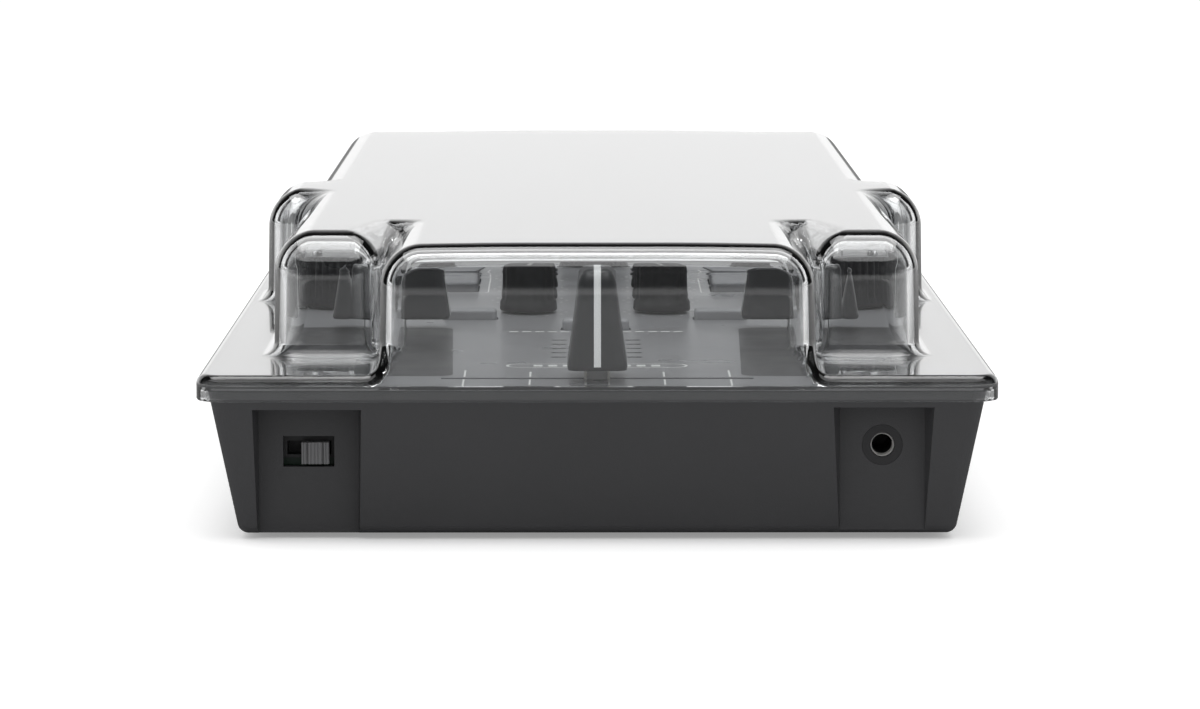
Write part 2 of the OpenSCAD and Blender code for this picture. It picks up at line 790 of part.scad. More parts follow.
module deck_encoder_left() deck_encoder(0);
module deck_encoder_right() deck_encoder(1);

// The browse encoder's knob turns on a spindle that can be pushed down
module browse_spindle() color([0.7, 0.7, 0.72]) at([browse_at])
    spindle(browse_z + browse_h - knob_top, browse_push + 0.2);

module browse_knob() color([0.2, 0.2, 0.22]) at([browse_at]) difference() {
    knob_cap(browse_r, browse_h, browse_z, 18);
    rod(spindle_r + spindle_fit, browse_z - 1, browse_h - knob_top + 1 + spindle_fit);
}

// ---- Keys ----

stem_grip = 1;

module key(index) color([0.8, 0.8, 0.82]) {
    key = KEYS[index];
    flange_top = panel_z - 0.1;
    translate([0, 0, flange_top - eps]) linear_extrude(rim_z + key_h - flange_top + eps)
        key_outline(key, 0);
    translate([0, 0, flange_top - key_flange_t]) linear_extrude(key_flange_t)
        key_outline(key, key_flange);
    stem_z = board_top + key_switch_h - stem_grip;
    translate([key[1][0], key[1][1], 0])
        rod(key_stem_r, stem_z, flange_top - key_flange_t - stem_z + eps);
}

module key_switches() color([0.2, 0.2, 0.2]) for (k = KEYS)
    translate([k[1][0], k[1][1], 0]) difference() {
        block(key_switch_w, min(key_switch_w, k[2][1] + 2), board_top, key_switch_h);
        rod(key_stem_r + fader_fit, board_top + 1, key_switch_h);
    }

// ---- Front and rear sockets ----

module headphone_jack() color([0.16, 0.16, 0.17])
    translate([right_bay_x, right_bay_y, 0]) difference() {
        union() {
            translate([-jack_body[0] / 2, bay_wall + 0.1, board_top])
                cube(jack_body);
            translate([0, 0, jack_z]) rotate([-90, 0, 0])
                cylinder(r = jack_nose_r, h = bay_wall + 1);
        }
        translate([0, -1, jack_z]) rotate([-90, 0, 0])
            cylinder(r = jack_hole_r, h = jack_hole_l + 1);
        translate([0, -1, jack_z]) rotate([-90, 0, 0])
            cylinder(r = jack_sleeve_r, h = jack_sleeve_l + 1);
    }

module jack_sleeve() color([0.85, 0.85, 0.86])
    translate([right_bay_x, right_bay_y, jack_z]) rotate([-90, 0, 0]) difference() {
        cylinder(r = jack_sleeve_r, h = jack_sleeve_l);
        translate([0, 0, -1]) cylinder(r = jack_hole_r, h = jack_sleeve_l + 2);
    }

// Right end of the travel is the rest position
switch_knob_x = left_bay_x + switch_window_w / 2 - switch_end_gap - switch_knob_w / 2;
switch_stem = [2, 3, 2];
switch_stem_z = board_top + 0.7;

module phones_switch_knob() color([0.24, 0.24, 0.25]) {
    low = switch_z - switch_window_h / 2 + switch_low_gap;
    rib = 0.9;
    groove = 0.25;
    depth = bay_wall + switch_knob_proud - 0.4;
    difference() {
        translate([switch_knob_x - switch_knob_w / 2, left_bay_y - switch_knob_proud, low])
            cube([switch_knob_w, depth, switch_knob_h]);
        for (s = SIDES)
            translate([switch_knob_x + s * (switch_knob_w / 2 - rib - groove / 2)
                       - groove / 2, left_bay_y - switch_knob_proud - eps, low - 1])
                cube([groove, 0.5, switch_knob_h + 2]);
    }
    translate([switch_knob_x - switch_stem[0] / 2,
               left_bay_y - switch_knob_proud + depth - eps, switch_stem_z])
        cube(switch_stem);
}

module phones_switch_body() color([0.6, 0.6, 0.62])
    translate([left_bay_x, left_bay_y + bay_wall + 0.1, 0]) difference() {
        translate([-switch_body[0] / 2, 0, board_top]) cube(switch_body);
        // Slot that the knob's stem slides in
        translate([-switch_window_w / 2 + 0.6, -1, switch_stem_z - 0.2])
            cube([switch_window_w - 1.2, switch_stem[1] + 1.4, switch_stem[2] + 0.4]);
    }

// Form of the USB socket, grown by a clearance
module usb_form(grow, y, l) {
    r = usb_h / 2;
    translate([usb_x, y, board_top + r]) rotate([-90, 0, 0]) linear_extrude(l) {
        square([usb_w - usb_h, usb_h + 2 * grow], center = true);
        for (s = SIDES) translate([s * (usb_w / 2 - r), 0]) circle(r + grow);
    }
}

module usb_socket() color([0.75, 0.75, 0.77]) {
    wall = 0.35;
    mouth_y = rear_bay_y;
    difference() {
        usb_form(0, mouth_y - usb_l, usb_l);
        usb_form(-wall, mouth_y - usb_l + 1, usb_l);
    }
    // Contact tongue
    translate([usb_x - 3.3, mouth_y - usb_l + 0.5, board_top + usb_h / 2 - 0.35])
        cube([6.6, usb_l - 1.5, 0.7]);
}

module rca_sockets() color([0.8, 0.8, 0.82]) for (x = rca_x)
    translate([x, rear_bay_y, foot_h + rca_h]) rotate([-90, 0, 0]) {
        nut_t = 2.5;
        difference() {
            union() {
                translate([0, 0, -bay_wall - nut_t - 4])
                    cylinder(r = rca_r, h = bay_wall + nut_t + 4 + rca_l);
                // Collar outside the wall, nut inside it
                cylinder(r = rca_r + 1, h = 1);
                translate([0, 0, -bay_wall - nut_t])
                    cylinder(r = rca_r + 2, h = nut_t, $fn = 6);
            }
            translate([0, 0, -1]) cylinder(r = rca_r - 0.5, h = rca_l + 2);
        }
        // Centre contact
        difference() {
            translate([0, 0, -1 - eps]) cylinder(r = rca_hole_r + 0.8, h = rca_l);
            cylinder(r = rca_hole_r, h = rca_l + 1);
        }
    }

// ---- Screws ----

// Screw pointing up, its head's seat at z
module screw(r, head_r, head_h, z, l) {
    difference() {
        union() {
            rod(head_r, z - head_h, head_h);
            rod(r, z - eps, l + eps);
        }
        for (a = [0, 90]) rotate([0, 0, a])
            block(head_r * 1.3, head_r * 0.25, z - head_h - 1, 1 + head_h / 2);
    }
}

module case_screws() color([0.25, 0.25, 0.26]) at(CASE_SCREWS) {
    seat = foot_h + screw_seat;
    screw(screw_r, screw_head_r, screw_head_h, seat, spacer_z + spacer_l - 1.5 - seat);
}

module board_screws() color([0.75, 0.75, 0.77]) at(BOARD_SCREWS)
    translate([0, 0, board_top]) rotate([180, 0, 0])
        screw(board_screw_r, board_screw_head_r, 1.4, 0, board_top - floor_z - 1);

// ---- Dust cover ----

// Rounded form with leaning walls: x and y give its edges at the height of the rim.
// An inset form lies that far inside the outer one, and reaches down past the rim.
// Each form sinks a hair below the one before, so that no two tops coincide.
module cover_form(x, y, edge_r, inset, sink) {
    lean = tan(cover_lean);
    base_z = rim_z + cover_wall / 2 - inset;
    top_z = cover_top - inset - sink;
    r = edge_r - inset;
    corner_r = cover_corner_r - inset;
    base_in = (base_z - rim_z) * lean + inset + corner_r;
    top_in = (top_z - r - rim_z) * lean + inset + r;
    hull() {
        for (px = [x[0] + base_in, x[1] - base_in], py = [y[0] + base_in, y[1] - base_in])
            translate([px, py, base_z]) cylinder(r = corner_r, h = eps, $fn = hull_fn);
        for (px = [x[0] + top_in, x[1] - top_in], py = [y[0] + top_in, y[1] - top_in])
            translate([px, py, top_z - r]) sphere(r, $fn = hull_fn);
    }
}

module cover_mass(inset) {
    hair = 0.04;
    // How far the tongue and the shoulders run back into the raised top
    run_in = 40;
    plateau_end = cover_rear - plateau_rear;
    shoulder_front = cover_front + shoulder_y;
    bump_mid = front_y + deck_encoder_y;
    // Tongue over the crossfader
    cover_form([-tongue_x, tongue_x], [cover_front + hair, shoulder_front + run_in],
               cover_edge_r, inset, 0);
    // Shoulders beside the tongue
    for (s = SIDES)
        cover_form(s > 0 ? [shoulder_x, plateau_x] : [-plateau_x, -shoulder_x],
                   [shoulder_front, shoulder_front + run_in], cover_edge_r, inset, hair);
    // Raised top
    cover_form([hair - plateau_x, plateau_x - hair],
               [shoulder_front + crease_d, plateau_end], cover_edge_r, inset, 2 * hair);
    // Bumps over the deck encoders
    cover_form([-bump_x, bump_x], [bump_mid - bump_l / 2, bump_mid + bump_l / 2],
               bump_edge_r, inset, 3 * hair);
}

module dust_cover() color([0.8, 0.85, 0.9, 0.3]) difference() {
    union() {
        cover_mass(0);
        // Flange and hanging lip
        round_plate(case_w + 2 * cover_over, case_l + 2 * cover_over,
                    case_corner_r + cover_over, rim_z - lip_drop,
                    cover_wall + lip_drop);
    }
    cover_mass(cover_wall);
    round_plate(case_w + 2 * lip_gap, case_l + 2 * lip_gap, case_corner_r + lip_gap,
                rim_z - lip_drop - 1, lip_drop + 1);
}

bottom_case();
top_panel();
main_board();
fader_tracks();
pot_bodies();
encoder_bodies();
key_switches();
level_lamps();
headphone_jack();
jack_sleeve();
phones_switch_body();
usb_socket();
rca_sockets();
case_screws();
board_screws();
panel_spacers();
rubber_feet();
dust_cover();
crossfader_slider();
crossfader_cap();
line_fader_slider_left();
line_fader_slider_right();
line_fader_cap_left();
line_fader_cap_right();
deck_encoder_left();
deck_encoder_right();
browse_spindle();
browse_knob();
phones_switch_knob();
for (i = [0:len(KNOBS) - 1])
    turning_knob(i);
for (i = [0:len(KEYS) - 1])
    key(i);
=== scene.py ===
import json
import math

import bmesh
import bpy
import numpy as np
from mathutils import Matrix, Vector


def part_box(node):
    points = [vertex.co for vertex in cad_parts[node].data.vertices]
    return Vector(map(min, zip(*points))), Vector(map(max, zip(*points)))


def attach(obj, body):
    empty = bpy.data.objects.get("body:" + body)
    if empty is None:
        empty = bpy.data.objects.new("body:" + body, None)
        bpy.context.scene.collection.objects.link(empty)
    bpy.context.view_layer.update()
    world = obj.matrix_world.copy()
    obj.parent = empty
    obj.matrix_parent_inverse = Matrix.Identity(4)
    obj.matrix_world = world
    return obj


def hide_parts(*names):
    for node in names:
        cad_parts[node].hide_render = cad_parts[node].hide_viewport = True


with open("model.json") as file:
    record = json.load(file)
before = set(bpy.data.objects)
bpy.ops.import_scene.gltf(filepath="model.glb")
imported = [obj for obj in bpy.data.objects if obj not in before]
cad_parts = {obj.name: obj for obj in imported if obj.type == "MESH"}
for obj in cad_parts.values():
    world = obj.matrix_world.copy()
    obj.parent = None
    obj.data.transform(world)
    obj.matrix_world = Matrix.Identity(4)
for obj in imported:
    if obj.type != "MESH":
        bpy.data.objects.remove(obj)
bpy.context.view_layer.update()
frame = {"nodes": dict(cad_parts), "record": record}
nodes = frame["nodes"]
MM = 0.001
SIDES = (("left", -1), ("right", 1))
CHANNEL_KNOBS = ("filter", "low", "mid", "high")
OUTPUT_KNOBS = ("cue_mix", "master", "phones")
DECK_KEYS = ("phones", "load", "sync", "cue", "play")
PADS = (1, 2, 3, 4)


class Span:
    """Box of a CAD node at rest, in millimetres."""

    def __init__(self, name):
        low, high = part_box(name)
        self.low = [v / MM for v in low]
        self.high = [v / MM for v in high]
        self.mid = [(a + b) / 2 for a, b in zip(self.low, self.high)]
        self.size = [b - a for a, b in zip(self.low, self.high)]


cover = Span("dust_cover")
RIM = Span("bottom_case").high[2]
LIP_FRONT = cover.low[1]


# ---------------------------------------------------------------- materials

def material(name):
    m = bpy.data.materials.new(name)
    m.use_nodes = True
    nt = m.node_tree
    return m, nt, nt.nodes["Principled BSDF"]


def node(nt, kind, **values):
    """New node. A value named in_X sets the input socket X, any other a property."""
    n = nt.nodes.new(kind)
    for k, v in values.items():
        if k.startswith("in_"):
            n.inputs[k[3:].replace("_", " ")].default_value = v
        else:
            setattr(n, k, v)
    return n


def noise(nt, scale, detail=2.0, rough=0.5, stretch=(1, 1, 1)):
    n = node(nt, "ShaderNodeTexNoise", in_Scale=scale, in_Detail=detail, in_Roughness=rough)
    place = node(nt, "ShaderNodeMapping", in_Scale=stretch)
    nt.links.new(node(nt, "ShaderNodeTexCoord").outputs["Object"], place.inputs["Vector"])
    nt.links.new(place.outputs["Vector"], n.inputs["Vector"])
    return n.outputs["Fac"]


def ramp(nt, source, low, high, a, b, kind="LINEAR"):
    """Maps source from low..high to a..b."""
    r = node(nt, "ShaderNodeMapRange", interpolation_type=kind, in_From_Min=low,
             in_From_Max=high, in_To_Min=a, in_To_Max=b)
    nt.links.new(source, r.inputs["Value"])
    return r.outputs["Result"]


def calc(nt, op, a, b):
    m = node(nt, "ShaderNodeMath", operation=op)
    for i, v in enumerate((a, b)):
        if isinstance(v, (int, float)):
            m.inputs[i].default_value = v
        else:
            nt.links.new(v, m.inputs[i])
    return m.outputs[0]


def tint(nt, source, dark, light):
    """Colour that goes from dark to light with source."""
    m = node(nt, "ShaderNodeMix", data_type="RGBA")
    factor, first, second = (m.inputs[i] for i in (0, 6, 7))
    first.default_value = (*dark, 1)
    second.default_value = (*light, 1)
    nt.links.new(source, factor)
    return m.outputs[2]


def shade(colour, k):
    return tuple(min(1.0, c * k) for c in colour)


def surface(name, colour, rough, metal=0.0, grain=0.0, grain_scale=2500.0, spread=0.08,
            patch=60.0, rough_spread=0.06, specular=0.5):
    """Colour that varies softly, roughness that varies with it, and a fine grain."""
    m, nt, p = material(name)
    soft = noise(nt, patch, 3.0)
    nt.links.new(tint(nt, soft, shade(colour, 1 - spread), shade(colour, 1 + spread)),
                 p.inputs["Base Color"])
    nt.links.new(ramp(nt, soft, 0.3, 0.7, rough - rough_spread, rough + rough_spread),
                 p.inputs["Roughness"])
    p.inputs["Metallic"].default_value = metal
    p.inputs["Specular IOR Level"].default_value = specular
    if grain:
        b = node(nt, "ShaderNodeBump", in_Strength=1.0, in_Distance=grain * MM)
        nt.links.new(noise(nt, grain_scale, 2.0, 0.6), b.inputs["Height"])
        nt.links.new(b.outputs["Normal"], p.inputs["Normal"])
    return m


SHEET_IOR, COAT_IOR = 1.585, 1.5
SHEET_TINT, LIGHT_TINT = (0.97, 0.98, 0.985, 1), (0.9, 0.91, 0.915, 1)
# Haze of the flat top: how upright its normal is, and how low the view
TOP_HAZE, UPRIGHT, LOW_VIEW = 0.25, (0.97, 0.995), (0.6, 0.88)
DULL_SPOTS, WAVE_DEPTH = 0.01, 0.03


def polycarbonate(name):
    """Clear hard-coated sheet. Its flat top is a little hazy along a low view."""
    m, nt, p = material(name)
    p.inputs["Base Color"].default_value = SHEET_TINT
    p.inputs["Transmission Weight"].default_value = 1.0
    p.inputs["IOR"].default_value = SHEET_IOR
    p.inputs["Coat Weight"].default_value = 1.0
    p.inputs["Coat Roughness"].default_value = 0.0
    p.inputs["Coat IOR"].default_value = COAT_IOR
    facing = node(nt, "ShaderNodeLayerWeight", in_Blend=0.5).outputs["Facing"]
    way = node(nt, "ShaderNodeSeparateXYZ")
    nt.links.new(node(nt, "ShaderNodeNewGeometry").outputs["Normal"], way.inputs[0])
    flat = ramp(nt, calc(nt, "ABSOLUTE", way.outputs["Z"], 0), *UPRIGHT, 0, 1)
    haze = calc(nt, "MULTIPLY", flat, ramp(nt, facing, *LOW_VIEW, 0, TOP_HAZE))
    dull = ramp(nt, noise(nt, 35.0, 4.0), 0.55, 0.8, 0.0, DULL_SPOTS)
    nt.links.new(calc(nt, "MAXIMUM", haze, dull), p.inputs["Roughness"])
    wave = node(nt, "ShaderNodeBump", in_Strength=1.0, in_Distance=WAVE_DEPTH * MM)
    nt.links.new(noise(nt, 60.0, 1.0, 0.5, (0.5, 2.0, 1.0)), wave.inputs["Height"])
    nt.links.new(wave.outputs["Normal"], p.inputs["Normal"])
    # Shadow and diffuse rays pass straight through, so that light reaches the panel
    clear = node(nt, "ShaderNodeBsdfTransparent")
    clear.inputs["Color"].default_value = LIGHT_TINT
    path = node(nt, "ShaderNodeLightPath")
    soft = calc(nt, "MAXIMUM", path.outputs["Is Shadow Ray"], path.outputs["Is Diffuse Ray"])
    mix = node(nt, "ShaderNodeMixShader")
    nt.links.new(soft, mix.inputs[0])
    nt.links.new(p.outputs[0], mix.inputs[1])
    nt.links.new(clear.outputs[0], mix.inputs[2])
    nt.links.new(mix.outputs[0], nt.nodes["Material Output"].inputs["Surface"])
    return m


M = {
    "case": surface("case_plastic", (0.056, 0.056, 0.059), 0.52, grain=0.035,
                    grain_scale=3200, specular=0.4),
    "panel": surface("panel_paint", (0.24, 0.24, 0.248), 0.3, grain=0.004,
                     grain_scale=5000, spread=0.05, rough_spread=0.03),
    "ink": surface("white_ink", (0.78, 0.78, 0.76), 0.5, spread=0.04, grain=0.01),
    "faint_ink": surface("grey_ink", (0.11, 0.11, 0.11), 0.5, spread=0.04, grain=0.01),
    "near_black": surface("near_black_layer", (0.035, 0.035, 0.037), 0.35, grain=0.004),
    "board": surface("circuit_board", (0.01, 0.035, 0.02), 0.4, spread=0.2, patch=400),
    "steel": surface("zinc_steel", (0.62, 0.62, 0.61), 0.35, metal=1.0, grain=0.01),
    "lever": surface("lever_steel", (0.55, 0.55, 0.55), 0.4, metal=0.3, grain=0.01),
    # Painted highlight: near white on the steel lever's edges, in place of their glint
    "painted_highlight_edge": surface("lever_edge_painted_highlight", (0.95, 0.93, 0.88), 0.3, spread=0.03),
    "body": surface("control_body", (0.03, 0.03, 0.032), 0.5, grain=0.02),
    "lens": surface("lamp_lens", (0.05, 0.06, 0.05), 0.2, spread=0.2, patch=900),
    "socket": surface("socket_black", (0.03, 0.03, 0.032), 0.42, spread=0.1,
                      patch=300, grain=0.008, grain_scale=4000),
    "sleeve": surface("sleeve_metal", (0.86, 0.85, 0.83), 0.3, metal=0.4, spread=0.04),
    "nickel": surface("nickel", (0.82, 0.81, 0.79), 0.16, metal=1.0, spread=0.04,
                      patch=300, rough_spread=0.04),
    "black_screw": surface("black_screw", (0.1, 0.1, 0.105), 0.35, metal=1.0, grain=0.006),
    "foot": surface("foot_rubber", (0.018, 0.018, 0.018), 0.75, grain=0.04),
    "cap": surface("cap_plastic", (0.045, 0.045, 0.047), 0.36, grain=0.006,
                   grain_scale=4000),
    "cap_line": surface("cap_line", (0.93, 0.93, 0.92), 0.35, spread=0.02),
    "knob": surface("knob_rubber", (0.016, 0.016, 0.017), 0.55, grain=0.012,
                    grain_scale=3500),
    "encoder": surface("encoder_plastic", (0.02, 0.02, 0.022), 0.3, grain=0.004),
    "spindle": surface("spindle_steel", (0.7, 0.7, 0.69), 0.25, metal=1.0),
    "key": surface("key_silicone", (0.3, 0.3, 0.31), 0.5, grain=0.012),
    "pad": surface("pad_silicone", (0.3, 0.3, 0.31), 0.5, grain=0.012),
    "switch": surface("switch_plastic", (0.16, 0.16, 0.165), 0.42, grain=0.02,
                      grain_scale=3500),
    "white_ring": surface("white_insulator", (0.75, 0.75, 0.73), 0.4),
    "red_ring": surface("red_insulator", (0.5, 0.02, 0.02), 0.4),
    "cover": polycarbonate("clear_polycarbonate"),
}


# ---------------------------------------------------------------- mesh tools

def piece(name, verts, faces, mat, body, slot, replaces=(), sharp=40.0):
    """New object from vertices in millimetres, riding on a body."""
    mesh = bpy.data.meshes.new(name)
    mesh.from_pydata([(x * MM, y * MM, z * MM) for x, y, z in verts], [], faces)
    mesh.validate()
    bm = bmesh.new()
    bm.from_mesh(mesh)
    bmesh.ops.remove_doubles(bm, verts=bm.verts, dist=1e-7)
    bmesh.ops.recalc_face_normals(bm, faces=bm.faces)
    bm.to_mesh(mesh)
    bm.free()
    o = bpy.data.objects.new(name, mesh)
    bpy.context.scene.collection.objects.link(o)
    mesh.materials.append(M[mat])
    mesh.shade_smooth()
    if sharp is not None:
        mesh.set_sharp_from_angle(angle=math.radians(sharp))
    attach(o, body)
    if replaces:
        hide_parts(*replaces)


class Build:
    """Collects faces of several simple forms into one piece."""

    def __init__(self):
        self.verts, self.faces = [], []

    def add(self, verts, faces):
        n = len(self.verts)
        self.verts += [tuple(v) for v in verts]
        self.faces += [tuple(i + n for i in f) for f in faces]

    def rings(self, rings, closed=True):
        """Skin over rings of equally many points, with its two ends closed or open."""
        k = len(rings[0])
        verts = [p for r in rings for p in r]
        faces = [(i * k + j, i * k + (j + 1) % k, (i + 1) * k + (j + 1) % k, (i + 1) * k + j)
                 for i in range(len(rings) - 1) for j in range(k)]
        if closed:
            faces.append(tuple(reversed(range(k))))
            faces.append(tuple(range((len(rings) - 1) * k, len(rings) * k)))
        self.add(verts, faces)

    def box(self, x0, x1, y0, y1, z0, z1):
        v = [(x, y, z) for z in (z0, z1) for x, y in ((x0, y0), (x1, y0), (x1, y1), (x0, y1))]
        self.add(v, [(3, 2, 1, 0), (4, 5, 6, 7), (0, 1, 5, 4), (1, 2, 6, 5),
                     (2, 3, 7, 6), (3, 0, 4, 7)])

    def lathe_y(self, cx, cz, rows, seg=48):
        """Surface turned about a line along Y. Rows are radius and Y."""
        self.rings([[(cx + r * math.cos(2 * math.pi * j / seg), y,
                      cz + r * math.sin(2 * math.pi * j / seg)) for j in range(seg)]
                    for r, y in rows], closed=False)

    def piece(self, name, mat, body, **kw):
        piece(name, self.verts, self.faces, mat, body, **kw)


CORNER_STEPS = 6


def round_outline(w, l, r, n=CORNER_STEPS, cx=0.0, cy=0.0):
    """Anticlockwise points of a round-cornered rectangle, from its right rear corner."""
    pts = []
    for k, (sx, sy) in enumerate(((1, 1), (-1, 1), (-1, -1), (1, -1))):
        for i in range(n + 1):
            a = math.pi / 2 * (k + i / n)
            pts.append((cx + sx * (w / 2 - r) + r * math.cos(a),
                        cy + sy * (l / 2 - r) + r * math.sin(a)))
    return pts


def ring(outline, z):
    return [(x, y, z) for x, y in outline]


def arc(n):
    """Angles that divide a quarter turn into n, without its start."""
    return [math.pi / 2 * i / n for i in range(1, n + 1)]


# ---------------------------------------------------------------- dust cover

# Heights are above the case rim, depths behind the lip's front, widths from the middle.
TOP = cover.high[2] - RIM
COVER_HALF, COVER_L = cover.high[0], cover.size[1]
SKIN, LIP_SKIN, LIP_EDGE = 1.98, 1.6, 0.3
LIP_LOW, LIP_END, LIP_BLEND, FLANGE = -2.5, -0.9, 1.2, 2.0
LEAN = math.tan(math.radians(1))
BOW, BOW_FROM = 0.012, 14.5
TONGUE, TONGUE_FRONT, TONGUE_REAR = 37.4, -40, 60
PLATEAU, PLATEAU_REAR = 57.0, COVER_L - 6.6
SHOULDER_IN, SHOULDER_FRONT, CREASE_SLANT, CREASE_END = 38.8, 27.0, 0.22, 22.0
BUMP, BUMP_L = 64.0, 29.0
BUMP_MID = Span("deck_encoder_left").mid[1] - LIP_FRONT
CROWN, CROWN_FROM, CROWN_W = 0.35, 12, 34
# Radii of corners seen from above
PLATEAU_CORNER, TONGUE_CORNER, BUMP_CORNER, COVER_CORNER = 6.2, 5.0, 5.5, 4.8
# Radii of fillets and rounded edges. The outline's edge grows above the flange.
NOTCH_EDGE, TONGUE_FILLET, BUMP_FILLET, FLANGE_FILLET, TOP_EDGE = 5.0, 1.0, 3.5, 2.4, 7.0
RIM_EDGE, RIM_GROWTH, RIM_FROM, RIM_RISE = 1.7, 3.2, 3.2, 4


def smooth(t):
    t = np.clip(t, 0, 1)
    return t * t * (3 - 2 * t)


def joined(a, b, r):
    """Union of two distance fields with a fillet of radius r."""
    u, v = np.maximum(r - a, 0), np.maximum(r - b, 0)
    return np.maximum(r, np.minimum(a, b)) - np.hypot(u, v)


def common(a, b, r):
    """Intersection of two distance fields with a rounded edge of radius r."""
    u, v = np.maximum(r + a, 0), np.maximum(r + b, 0)
    return np.minimum(-r, np.maximum(a, b)) + np.hypot(u, v)


def plan(ax, y, hx, y0, y1, r):
    """Distance to a round-cornered rectangle seen from above."""
    qx = ax - (hx - r)
    qy = np.abs(y - (y0 + y1) / 2) - ((y1 - y0) / 2 - r)
    return (np.hypot(np.maximum(qx, 0), np.maximum(qy, 0))
            + np.minimum(np.maximum(qx, qy), 0) - r)


def cover_field(x, y, z):
    """Distance to the outer face of the cover, from its middle, lip front and case rim."""
    ax = np.abs(x)
    s = np.maximum(z, 0) * LEAN
    front = s + BOW * np.maximum(z - BOW_FROM, 0) ** 2
    raised = plan(ax, y, PLATEAU - s, SHOULDER_FRONT + front, PLATEAU_REAR - s, PLATEAU_CORNER)
    crease = SHOULDER_IN + s - CREASE_SLANT * (y - SHOULDER_FRONT)
    notch = np.maximum(ax - crease, y - SHOULDER_FRONT - CREASE_END)
    raised = common(raised, -notch, NOTCH_EDGE)
    tongue = plan(ax, y, TONGUE - s, TONGUE_FRONT, TONGUE_REAR, TONGUE_CORNER)
    foot = joined(raised, tongue, TONGUE_FILLET)
    bump = plan(ax, y, BUMP - s, BUMP_MID - BUMP_L / 2 + s, BUMP_MID + BUMP_L / 2 - s,
                BUMP_CORNER)
    foot = joined(foot, bump, BUMP_FILLET)
    crown = CROWN * smooth((ax - CROWN_FROM) / CROWN_W)
    form = common(foot, z - TOP + crown, TOP_EDGE)
    shell = joined(form, z - FLANGE, FLANGE_FILLET)
    outline = plan(ax, y, COVER_HALF, front, COVER_L, COVER_CORNER)
    rim = RIM_EDGE + RIM_GROWTH * smooth((z - RIM_FROM) / RIM_RISE)
    return common(shell, outline, rim)


def skin_field(x, y, z):
    """Distance to the sheet, which is thinner in its lip."""
    f = cover_field(x, y, z)
    t = LIP_SKIN + (SKIN - LIP_SKIN) * smooth((z - LIP_END) / LIP_BLEND)
    return common(np.maximum(f, -(f + t)), LIP_LOW - z, LIP_EDGE)


def spaced(*stretches):
    """Grid lines from (start, end, spacing) stretches."""
    out = []
    for a, b, step in stretches:
        n = max(1, int(round((b - a) / step)))
        out += list(a + (b - a) * np.arange(n) / n)
    return np.array(out + [stretches[-1][1]])


def net(field, xs, ys, zs):
    """Closed quad mesh of field = 0 on a grid of unequal spacing."""
    X, Y, Z = np.meshgrid(xs, ys, zs, indexing="ij")
    F = field(X, Y, Z)
    inside = F < 0
    # One vertex in each cell that the surface passes: the mean of its edges' cuts
    cells = [d - 1 for d in F.shape]
    total, count = np.zeros((*cells, 3)), np.zeros(cells)
    for axis in range(3):
        lo = [slice(None)] * 3
        hi = [slice(None)] * 3
        lo[axis], hi[axis] = slice(0, -1), slice(1, None)
        f0, f1 = F[tuple(lo)], F[tuple(hi)]
        cut = inside[tuple(lo)] != inside[tuple(hi)]
        t = np.where(cut, f0 / np.where(cut, f0 - f1, 1), 0)
        pts = [g[tuple(lo)] for g in (X, Y, Z)]
        step = [g[tuple(hi)] - g[tuple(lo)] for g in (X, Y, Z)]
        p = np.stack([a + t * b for a, b in zip(pts, step)], -1)
        others = [k for k in range(3) if k != axis]
        for i in (0, 1):
            for j in (0, 1):
                s = [slice(None)] * 3
                s[others[0]] = slice(i, i + cells[others[0]])
                s[others[1]] = slice(j, j + cells[others[1]])
                c = cut[tuple(s)]
                total += p[tuple(s)] * c[..., None]
                count += c
    live = count > 0
    index = -np.ones(cells, int)
    index[live] = np.arange(live.sum())
    verts = total[live] / count[live][:, None]
    # One face across each grid edge that the surface cuts
    faces = []
    for axis in range(3):
        lo = [slice(1, -1)] * 3
        hi = [slice(1, -1)] * 3
        lo[axis], hi[axis] = slice(0, -1), slice(1, None)
        a, b = inside[tuple(lo)], inside[tuple(hi)]
        where = np.argwhere(a != b)
        out = a[tuple(where.T)]
        where = where + 1
        where[:, axis] -= 1
        u, v = [(1, 2), (2, 0), (0, 1)][axis]
        corner = []
        for du, dv in ((-1, -1), (0, -1), (0, 0), (-1, 0)):
            w = where.copy()
            w[:, u] += du
            w[:, v] += dv
            corner.append(index[tuple(w.T)])
        q = np.stack(corner, 1)
        q[~out] = q[~out][:, ::-1]
        faces.append(q)
    return verts, np.concatenate(faces)


def gradient(field, v, h=0.01):
    g = np.zeros_like(v)
    for k in range(3):
        d = np.zeros(3)
        d[k] = h
        g[:, k] = (field(*(v + d).T) - field(*(v - d).T)) / (2 * h)
    return g


def settle(field, v, turns=4, most=0.4):
    """Moves vertices onto field = 0."""
    for _ in range(turns):
        g = gradient(field, v)
        n2 = np.maximum((g ** 2).sum(1), 0.2)
        step = (field(*v.T) / n2)[:, None] * g
        size = np.linalg.norm(step, axis=1)[:, None]
        v = v - step * np.minimum(1, most / np.maximum(size, 1e-9))
    return v


